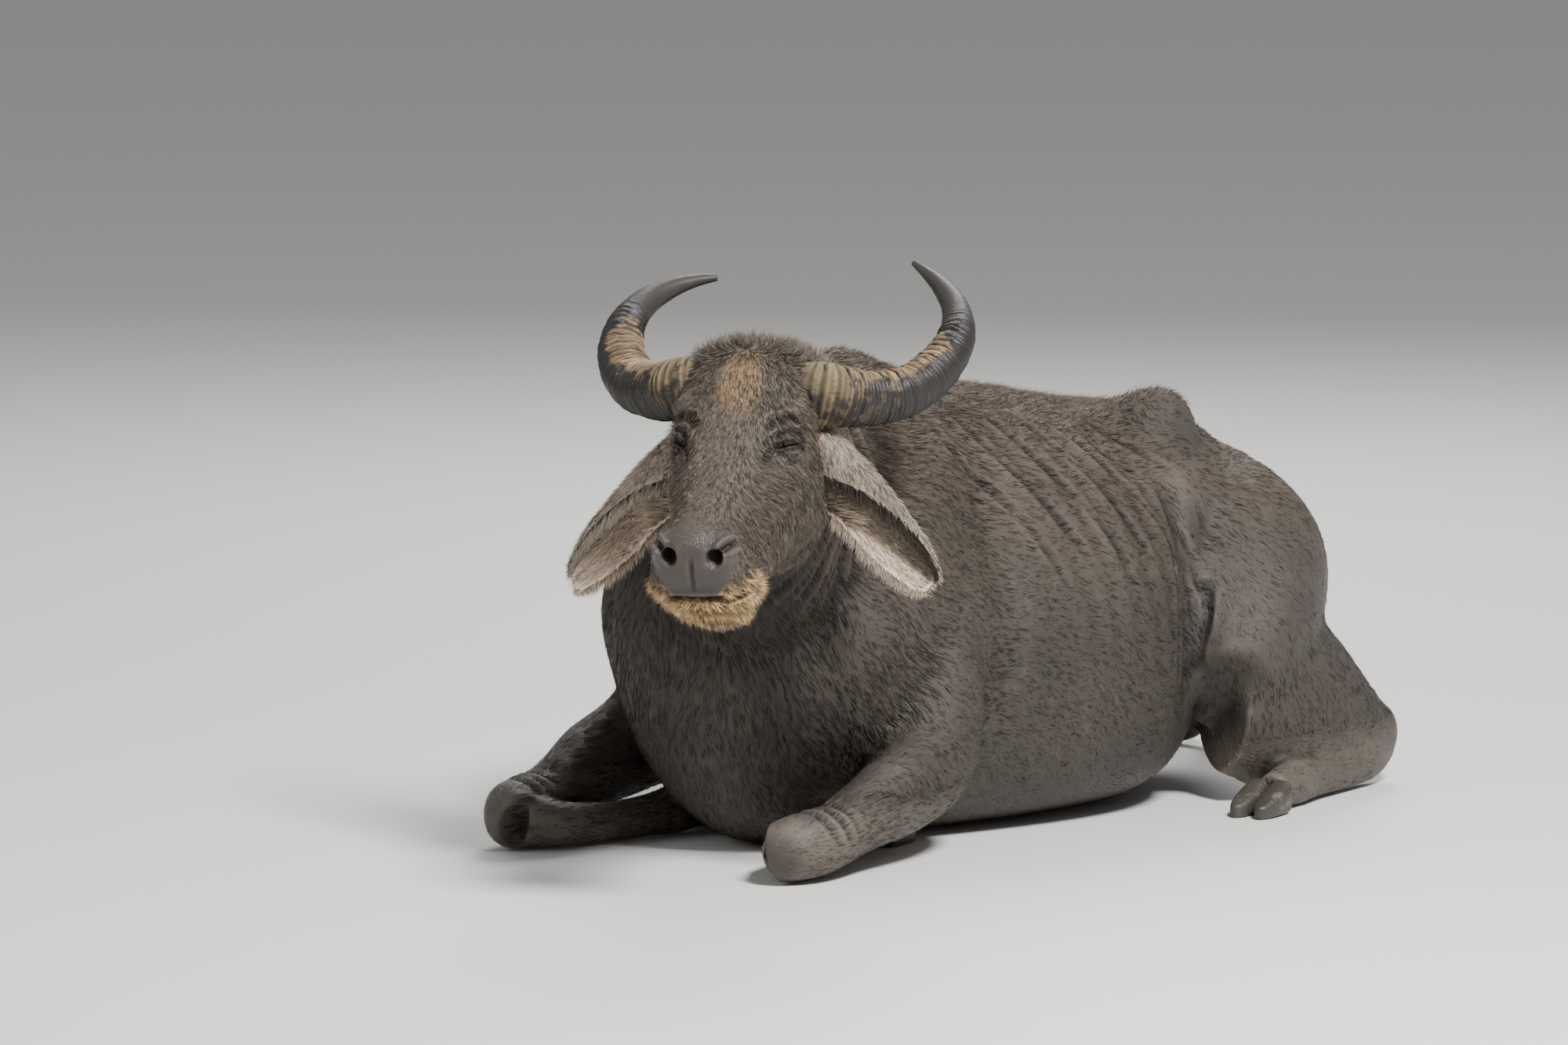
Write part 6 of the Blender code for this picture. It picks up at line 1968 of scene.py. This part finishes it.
@dataclass
class Coat:
    """All hair of the animal."""

    skin: Skin
    masks: dict[str, Points]
    tones: Points
    ears: dict[Side, tuple[Points, Points]]
    finish: bpy.types.Material
    tufts: Tufts = field(default_factory=Tufts)
    lay: Lay = field(default_factory=Lay)

    def __post_init__(self) -> None:
        """Works out the lie, the length and the lift of the coat at every point of the skin."""
        skin, masks = self.skin, self.masks
        near = HEAD.local(skin.points)
        u, v, w = near.T
        head = HEAD.holds(skin.points) * 1.0
        out = skin.normals @ np.array(HEAD.face().to_3x3())
        side = step(np.abs(out[:, 1]), 0.4, 0.9)
        ear = np.maximum(masks["ear"], 0)
        self.head = np.maximum(head, ear)
        self.ways = self.lay.ways(skin.points, skin.normals, ear)
        length = 0.0125 + 0.004 * side + 0.004 * step(u, 0.16, 0.06) + 0.007 * step(u, 0.05, 0.01)
        length += 0.006 * step(-out[:, 2], 0.3, 0.7) - 0.004 * step(u, 0.36, 0.42)
        length = length * (1 - 0.5 * masks["lids"]) * (1 - masks["pale"]) + 0.013 * masks["pale"]
        length += masks["pale"] * 0.005 * step(w, -0.115, -0.14)
        length *= 1 - 0.72 * step(masks["mouth"], 0.024, 0.009)
        length = np.where(masks["ear"] > 0.5, 0.0155, length)
        x, y, z = skin.points.T
        trunk = 0.020 + 0.007 * step(y, -0.2, -0.45) - 0.005 * step(z, 0.2, 0.1)
        trunk += 0.009 * masks["back"] * step(y, 0.4, -0.1)
        self.length = np.where(self.head > 0.5, length, trunk)
        lift = 0.24 + 0.16 * step(u, 0.10, 0.05) + 0.40 * step(u, 0.035, 0.0) + 0.30 * masks["pale"]
        lift = np.where(masks["ear"] > 0.5, 0.30, lift)
        self.lift = np.where(self.head > 0.5, lift, 0.09 + 0.12 * masks["back"])
        bare = np.clip(masks["pad"] + masks["hole"] * 1.5 + 0.3 * masks["knee"], 0, 1)
        self.bare = (1 - bare) * (z > 0.004) * (self.inside_mouth(near) < 0.5)

    def inside_mouth(self, near: Points) -> Points:
        """Which points lie within the line of the lips or between the lids."""
        found = np.zeros(len(near))
        line = smoothed(MOUTH, 6)
        pick = np.flatnonzero((near[:, 0] > 0.36) & (near[:, 2] < -0.05))
        apart = np.linalg.norm(near[pick][:, None] - line[None], axis=2).min(1)
        found[pick] = apart < 0.0100
        for side in Side:
            mirror = np.array((1, side.value, 1))
            slit = np.array(LIDS.line(0.0, 0.028, 0.0)) * mirror
            pick = np.flatnonzero(np.linalg.norm(near - slit[2], axis=1) < 0.05)
            found[pick] = np.maximum(found[pick], np.linalg.norm(
                near[pick][:, None] - smoothed(slit, 6)[None], axis=2).min(1) < 0.0062)
        return found

    def rooted(self, pelt: Pelt, weight: Points, length: Points, lift: Points,
               bright: float = 1.0) -> Roots:
        """Roots spread over the skin.

        Args:
            pelt: The growth's sizes.
            weight: How thickly it stands at each point of the skin.
            length: How long it is there.
            lift: How far it stands off the skin there, in radians.
            bright: How pale its tips are.

        Returns:
            The roots.
        """
        draw = np.random.default_rng(pelt.seed)
        skin = self.skin
        picked, share = skin.scatter(weight * self.bare, pelt.count, draw)
        out = unit(skin.blend(skin.normals, picked, share))
        way = skin.blend(self.ways, picked, share)
        way = unit(way - out * (way * out).sum(1)[:, None])
        turn = draw.normal(0, pelt.stray, pelt.count)
        way = way * np.cos(turn)[:, None] + np.cross(out, way) * np.sin(turn)[:, None]
        rise = skin.blend(lift, picked, share) * draw.uniform(0.55, 1.5, pelt.count)
        way = way * np.cos(rise)[:, None] + out * np.sin(rise)[:, None]
        tall = skin.blend(length, picked, share) * draw.uniform(0.6, 1.3, pelt.count)
        places = skin.blend(skin.points, picked, share) - out * 0.0010
        leads, own = self.clumps(places, pelt, draw)
        aim = places[leads[own]] + (way * tall[:, None])[leads[own]] * 1.05 - places
        way = unit(mixed_rows(way, aim / tall[:, None], np.full(pelt.count, pelt.pull)))
        wide = pelt.width * draw.uniform(0.7, 1.35, pelt.count)
        stand = tall * np.sin(rise) + 0.45 * pelt.bend * wide
        way += out * ((stand - skin.heights(places + way * tall[:, None])) / tall)[:, None]
        reach = places[:, 2] + way[:, 2] * tall
        way[:, 2] += np.maximum(0.001 - reach, 0) / tall
        shade = draw.uniform(0.35, 1.35, pelt.count) * draw.uniform(0.35, 1.7, len(leads))[own]
        shade = 1 + (shade - 1) * pelt.patchy
        # The hide's tone carries its painted shade and painted highlights into the hair at each root.
        tone = skin.blend(self.tones, picked, share) * shade[:, None]
        pale = draw.uniform(0.0, 1.0, pelt.count)[:, None] ** 2.2 * bright
        tips = tone * (1 + 1.6 * pale) + np.array((0.150, 0.112, 0.072)) * pale
        marks = (skin.marks[picked] * share[..., None]).sum(1)
        return Roots(places, unit(way), out, np.stack([wide * 0.55, wide, tall], axis=1), tone, tips, marks)

    def clumps(self, places: Points, pelt: Pelt, draw: np.random.Generator) -> tuple[np.ndarray, np.ndarray]:
        """Gathers hairs in clumps whose tips run together.

        Args:
            places: The roots.
            pelt: The growth, which tells how many hairs a clump has.
            draw: The seeded draw.

        Returns:
            The number of the hair that leads each clump, and the clump of each hair.
        """
        leads = draw.choice(len(places), max(len(places) // pelt.clump, 1), replace=False)
        tree = KDTree(len(leads))
        for number, lead in enumerate(leads):
            tree.insert(places[lead], number)
        tree.balance()
        return leads, np.array([tree.find(place)[1] for place in places])

    def strands(self, places: Points, ways: Points, faces: Points, tall: Points, wide: Points,
                tone: Sequence[float], tip: Sequence[float], draw: np.random.Generator) -> Roots:
        """Roots told one by one, such as a fringe."""
        count = len(places)
        shade = draw.uniform(0.65, 1.3, count)[:, None]
        sizes = np.stack([wide * 0.5, wide, tall], axis=1)
        marks = self.skin.mark_of[self.skin.nearest(places)]
        return Roots(places, unit(ways), faces, sizes, np.array(tone) * shade, np.array(tip) * shade, marks)

    def fringe(self, side: Side) -> list[bpy.types.Object]:
        """The long hair on the rims and in the mouth of an ear."""
        sheet, facing = self.ears[side]
        rows, columns = sheet.shape[:2]
        draw = np.random.default_rng(40 + side.value)
        down = np.array((0.0, 0.0, -1.0))
        along = unit(np.gradient(sheet, axis=0))
        across = unit(np.gradient(sheet, axis=1))
        found = []
        for count, span, column, beyond, tall, wide, tone, tip, lean in (
            (1500, (0.10, 0.97), (0, 2), -0.6, 0.024, 0.0021, (0.020, 0.015, 0.012),
             (0.085, 0.066, 0.050) if side is Side.LEFT else (0.62, 0.54, 0.43), 1.0),
            (900, (0.25, 1.00), (columns - 3, columns - 1), 1.0, 0.020, 0.0018, (0.24, 0.19, 0.14),
             (0.60, 0.50, 0.38), 0.25),
            (600, (0.05, 1.00), (6, 10), -0.3, 0.016, 0.0016, (0.018, 0.013, 0.010), (0.055, 0.042, 0.032), 0.1),
        ):
            at = np.minimum((draw.uniform(*span, count) * (rows - 1)).astype(int), rows - 1)
            place = draw.integers(column[0], column[1] + 1, count)
            spot = sheet[at, place] + draw.normal(0, 0.0012, (count, 3))
            way = across[at, place] * beyond + down * lean + along[at, place] * draw.uniform(0.0, 0.6, (count, 1))
            way += facing[at, place] * draw.uniform(-0.1, 0.25, (count, 1)) + draw.normal(0, 0.12, (count, 3))
            share = at / (rows - 1)
            size = tall * (0.55 + 0.75 * np.sin(np.pi * np.clip(share, 0, 1) ** 0.8)) * draw.uniform(0.6, 1.2, count)
            found.append(self.strands(spot, way, facing[at, place], size, wide * draw.uniform(0.7, 1.3, count),
                                      tone, tip, draw))
        found.append(self.ear_tuft(sheet, facing, along, draw))
        merged = Roots(*(np.concatenate([getattr(r, item.name) for r in found]) for item in fields(Roots)))
        return self.tufts.grow("fringe_" + side.word, merged, self.finish, 3, 5.0)

    def ear_tuft(self, sheet: Points, facing: Points, along: Points, draw: np.random.Generator) -> Roots:
        """The pale tuft that leans out over the ear's opening from its front edge."""
        rows, columns = sheet.shape[:2]
        count = 1100
        at = (draw.uniform(0.08, 0.36, count) * (rows - 1)).astype(int)
        place = (draw.uniform(0.50, 0.98, count) * (columns - 1)).astype(int)
        way = along[at, place] * 0.9 + facing[at, place] * draw.uniform(0.25, 0.9, (count, 1))
        way += np.array((0, 0, 0.25)) + draw.normal(0, 0.14, (count, 3))
        tall = 0.046 * draw.uniform(0.5, 1.2, count)
        return self.strands(sheet[at, place] + facing[at, place] * 0.002, way, facing[at, place], tall,
                            0.0022 * draw.uniform(0.7, 1.3, count), (0.24, 0.18, 0.12), (0.66, 0.55, 0.40), draw)

    def lashes(self) -> list[bpy.types.Object]:
        """Dark lashes along both lids."""
        found = []
        turn = np.array(HEAD.face().to_3x3())
        place = np.array(HEAD.face())
        for side in Side:
            draw = np.random.default_rng(60 + side.value)
            mirror = np.array((1, side.value, 1))
            for lift, count, drop in ((0.0035, 90, -0.5), (-0.0035, 40, -0.9)):
                line = smoothed(LIDS.line(lift, 0.026, 0.003, 0.0), 12) * mirror
                spot = line[draw.integers(0, len(line), count)] @ place[:3, :3].T + place[:3, 3]
                nearest = self.skin.nearest(spot)
                out = self.skin.normals[nearest]
                rise = np.array(LIDS.rise()) * mirror
                fan = np.array(LIDS.run) * mirror * draw.uniform(-0.5, 0.5, (count, 1))
                way = out * 0.9 + (rise * drop + fan) @ turn.T
                found.append(self.strands(self.skin.points[nearest] - out * 0.001, way, rise @ turn.T + 0 * out,
                                          0.013 * draw.uniform(0.6, 1.2, count), np.full(count, 0.0009),
                                          (0.02, 0.017, 0.015), (0.05, 0.042, 0.036), draw))
        merged = Roots(*(np.concatenate([getattr(r, item.name) for r in found]) for item in fields(Roots)))
        return self.tufts.grow("lashes", merged, self.finish, 2, 3.0)

    def build(self) -> list[bpy.types.Object]:
        """Grows every piece of the coat."""
        x, y, z = self.skin.points.T
        u, v, w = HEAD.local(self.skin.points).T
        head, body = (self.head > 0.5) * 1.0, (self.head <= 0.5) * 1.0
        made = []
        thick = head * (1 + 0.8 * self.masks["pale"] + 0.8 * self.masks["ear"])
        thick *= 1 - 0.55 * step(w, -0.10, -0.20) * (1 - self.masks["pale"])
        face = thick * (self.masks["ear"] < 0.5)
        pelt = Pelt("coat_head", 44000, 0.0016, 2, 2.5, 71, 0.16, 7, 0.5)
        made += self.tufts.grow(pelt.name, self.rooted(pelt, face, self.length, self.lift, 1.6), self.finish, 2, 2.5)
        pelt = Pelt("coat_ears", 11000, 0.0016, 2, 3.0, 76, 0.16, 6, 0.45, 0.45)
        lobe = self.masks["ear"] * (1 - 0.8 * self.masks["cup"])
        made += self.tufts.grow(pelt.name, self.rooted(pelt, lobe, self.length, self.lift, 1.5),
                                self.finish, 2, 3.0)
        pelt = Pelt("coat_body", 105000, 0.0019, 1, 0.0, 72, 0.12, 5, 0.45)
        thick = body * (1 - 0.75 * self.masks["thigh"]) * (1 + 0.8 * step(y, 0.0, -0.4)) * (z > 0.01)
        made += self.tufts.grow(pelt.name, self.rooted(pelt, thick, self.length, self.lift), self.finish, 1, 0.0)
        pelt = Pelt("crown_hair", 5200, 0.0014, 2, 4.0, 73, 0.45)
        thick = head * step(u, 0.075, 0.02) * (1 - self.masks["ear"])
        rise = np.full(len(u), 0.75)
        made += self.tufts.grow(pelt.name, self.rooted(pelt, thick, 0.024 + 0 * u, rise), self.finish, 2, 4.0)
        pelt = Pelt("crest_hair", 9000, 0.0016, 2, 4.0, 74, 0.30)
        ridge = body * step(self.skin.normals[:, 2], 0.45, 0.85) * step(z, 0.60, 0.70)
        made += self.tufts.grow(pelt.name, self.rooted(pelt, ridge, 0.024 + 0 * u, 0.42 + 0 * u), self.finish, 2, 4.0)
        pelt = Pelt("lip_bristles", 5200, 0.0010, 2, 3.0, 75, 0.40)
        rough = self.masks["pale"] * (self.masks["pale"] > 0.4)
        made += self.tufts.grow(pelt.name, self.rooted(pelt, rough, 0.017 + 0 * u, 0.75 + 0 * u, 1.3),
                                self.finish, 2, 3.0)
        for side in Side:
            made += self.fringe(side)
        return made + self.lashes()


@dataclass
class Switch:
    """The long hair that the tail ends in, splayed on the floor."""

    core: tuple[Knot, ...] = (
        Knot(-0.128, 0.992, 0.020, 0.0165, 0.0165), Knot(-0.170, 0.979, 0.021, 0.019, 0.019),
        Knot(-0.225, 0.958, 0.021, 0.018, 0.018), Knot(-0.280, 0.932, 0.017, 0.012, 0.013),
        Knot(-0.330, 0.905, 0.012, 0.005, 0.006),
    )
    count: int = 2600

    def build(self, coat: Coat) -> tuple[bpy.types.Object, list[bpy.types.Object]]:
        """Makes the core and the hair round it.

        Args:
            coat: The coat, which grows the hair.

        Returns:
            The core, and the hair's meshes.
        """
        core = Frame3().limb("switch_core", self.core)
        put_values(core, "tone", np.tile((0.012, 0.010, 0.009), (len(core.data.vertices), 1)))
        put_values(core, "wet", np.zeros(len(core.data.vertices)))
        shade_smooth(core)
        draw = np.random.default_rng(81)
        rows = smoothed(self.core, 20)
        pick = (draw.uniform(0.02, 0.9, self.count) ** 0.9 * (len(rows) - 2)).astype(int)
        ahead = unit(rows[pick + 1, :3] - rows[pick, :3])
        side = unit(np.cross(ahead, np.array((0, 0, 1.0))))
        above = np.cross(side, ahead)
        turn = draw.uniform(0, 2 * np.pi, self.count)
        out = side * np.cos(turn)[:, None] + above * np.sin(turn)[:, None]
        places = rows[pick, :3] + out * rows[pick, 3:4] * 0.9
        way = ahead + out * draw.uniform(0.02, 0.22, (self.count, 1)) + draw.normal(0, 0.04, (self.count, 3))
        tall = draw.uniform(0.055, 0.115, self.count)
        way[:, 2] = np.maximum(way[:, 2], (0.004 - places[:, 2]) / tall)
        hair = coat.strands(places, way, out, tall, draw.uniform(0.0016, 0.0034, self.count),
                            (0.016, 0.013, 0.012), (0.055, 0.042, 0.032), draw)
        return core, coat.tufts.grow("switch_hair", hair, coat.finish, 3, 2.0)


@dataclass(frozen=True)
class Viewpoint:
    """The camera's place: the photo's angle, its distance and its long lens."""

    target: tuple[float, float, float] = (0.312, -0.704, 0.597)
    azimuth: float = 37.0
    elevation: float = 7.0
    distance: float = 14.0
    lens: float = 200.0

    def build(self) -> None:
        """Adds the camera."""
        a, e = math.radians(self.azimuth), math.radians(self.elevation)
        back = Vector((math.sin(a) * math.cos(e), -math.cos(a) * math.cos(e), math.sin(e)))
        data = bpy.data.cameras.new("camera")
        data.lens, data.sensor_width = self.lens, 36.0
        data.clip_start, data.clip_end = 0.5, 400.0
        camera = bpy.data.objects.new("camera", data)
        camera.location = Vector(self.target) + back * self.distance
        camera.rotation_mode = "QUATERNION"
        camera.rotation_quaternion = (-back).to_track_quat("-Z", "Y")
        bpy.context.scene.collection.objects.link(camera)
        bpy.context.scene.camera = camera


@dataclass
class Studio:
    """A plain pale floor under soft studio light."""

    finishes: Finishes
    lamps: tuple[tuple[str, tuple[float, float, float], float, float], ...] = (
        ("key", (4.3, -1.9, 5.4), 1.6, 900.0),
        ("fill", (-3.6, -5.2, 3.0), 4.0, 80.0),
        ("back", (-2.6, 4.6, 4.6), 3.0, 300.0),
    )

    def build(self) -> bpy.types.Object:
        """Adds the floor, the lamps and the surrounding light, and gives the floor."""
        for name, place, size, power in self.lamps:
            data = bpy.data.lights.new(name, "AREA")
            data.shape, data.size, data.energy = "DISK", size, power
            lamp = bpy.data.objects.new(name, data)
            lamp.location = place
            lamp.rotation_mode = "QUATERNION"
            aim = Vector((0.1, -0.2, 0.4)) - Vector(place)
            lamp.rotation_quaternion = aim.to_track_quat("-Z", "Y")
            bpy.context.scene.collection.objects.link(lamp)
        world = bpy.data.worlds.new("studio")
        world.use_nodes = True
        world.node_tree.nodes["Background"].inputs["Color"].default_value = (0.90, 0.90, 0.90, 1.0)
        world.node_tree.nodes["Background"].inputs["Strength"].default_value = 0.36
        bpy.context.scene.world = world
        reach = 90.0
        corners = [(-reach, -reach, 0), (reach, -reach, 0), (reach, reach, 0), (-reach, reach, 0)]
        mesh = bpy.data.meshes.new("floor")
        mesh.from_pydata(corners, [], [(0, 1, 2, 3)])
        floor = bpy.data.objects.new("floor", mesh)
        floor.data.materials.append(self.finishes.floor())
        bpy.context.scene.collection.objects.link(floor)
        return floor


FLESH = ("torso", "neck", "head", "tail", "foreleg_left", "foreleg_right", "hindleg_left", "hindleg_right",
         "ear_left", "ear_right")


def place_piece(piece: bpy.types.Object, finish: bpy.types.Material,
                replaced: Sequence[str] = ()) -> None:
    """Dresses a piece, lets it ride on the body and says what it replaces.

    Args:
        piece: The finished mesh.
        finish: Its material.
        replaced: Names of the solids that it stands for.
    """
    piece.data.materials.clear()
    piece.data.materials.append(finish)
    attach(piece, BODY)
    if replaced:
        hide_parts(*replaced)
    LOG.info("%s: %d faces", piece.name, len(piece.data.polygons))


def main() -> None:
    """Builds the animal piece by piece and sets it in the studio."""
    logging.basicConfig(level=logging.INFO, format="%(message)s")
    logging.getLogger("glTFImporter").setLevel(logging.WARNING)
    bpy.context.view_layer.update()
    Viewpoint().build()
    finishes = Finishes()
    Studio(finishes).build()
    ears = {side: Ear(side, 1.0 if side is Side.LEFT else 1.04) for side in Side}
    paint = Paint()
    for side, ear in ears.items():
        paint.ears[side] = (ear.sheet(), ear.facing())
    hide = Hide().build([ear.build() for ear in ears.values()])
    masks = paint.dress(hide)
    skin = Skin(hide)
    place_piece(hide, finishes.hide(), FLESH)
    coat = Coat(skin, masks, paint.tone(masks), paint.ears, finishes.coat())
    core, hair = Switch().build(coat)
    place_piece(core, coat.finish, ["tail_switch"])
    for piece in coat.build() + hair:
        place_piece(piece, coat.finish)
    horn_finish, hoof_finish, eye_finish = finishes.horn(), finishes.hoof(), finishes.eye()
    for side, knots in ((Side.LEFT, HORN_LEFT), (Side.RIGHT, HORN_RIGHT)):
        place_piece(Horn(side, knots, seed=5 + side.value).build(), horn_finish, ["horn_" + side.word])
        place_piece(Eye(side).build(), eye_finish, ["eye_" + side.word])
    for name, claw in Feet().build().items():
        place_piece(claw, hoof_finish, [name])


if __name__ == "__main__":
    main()
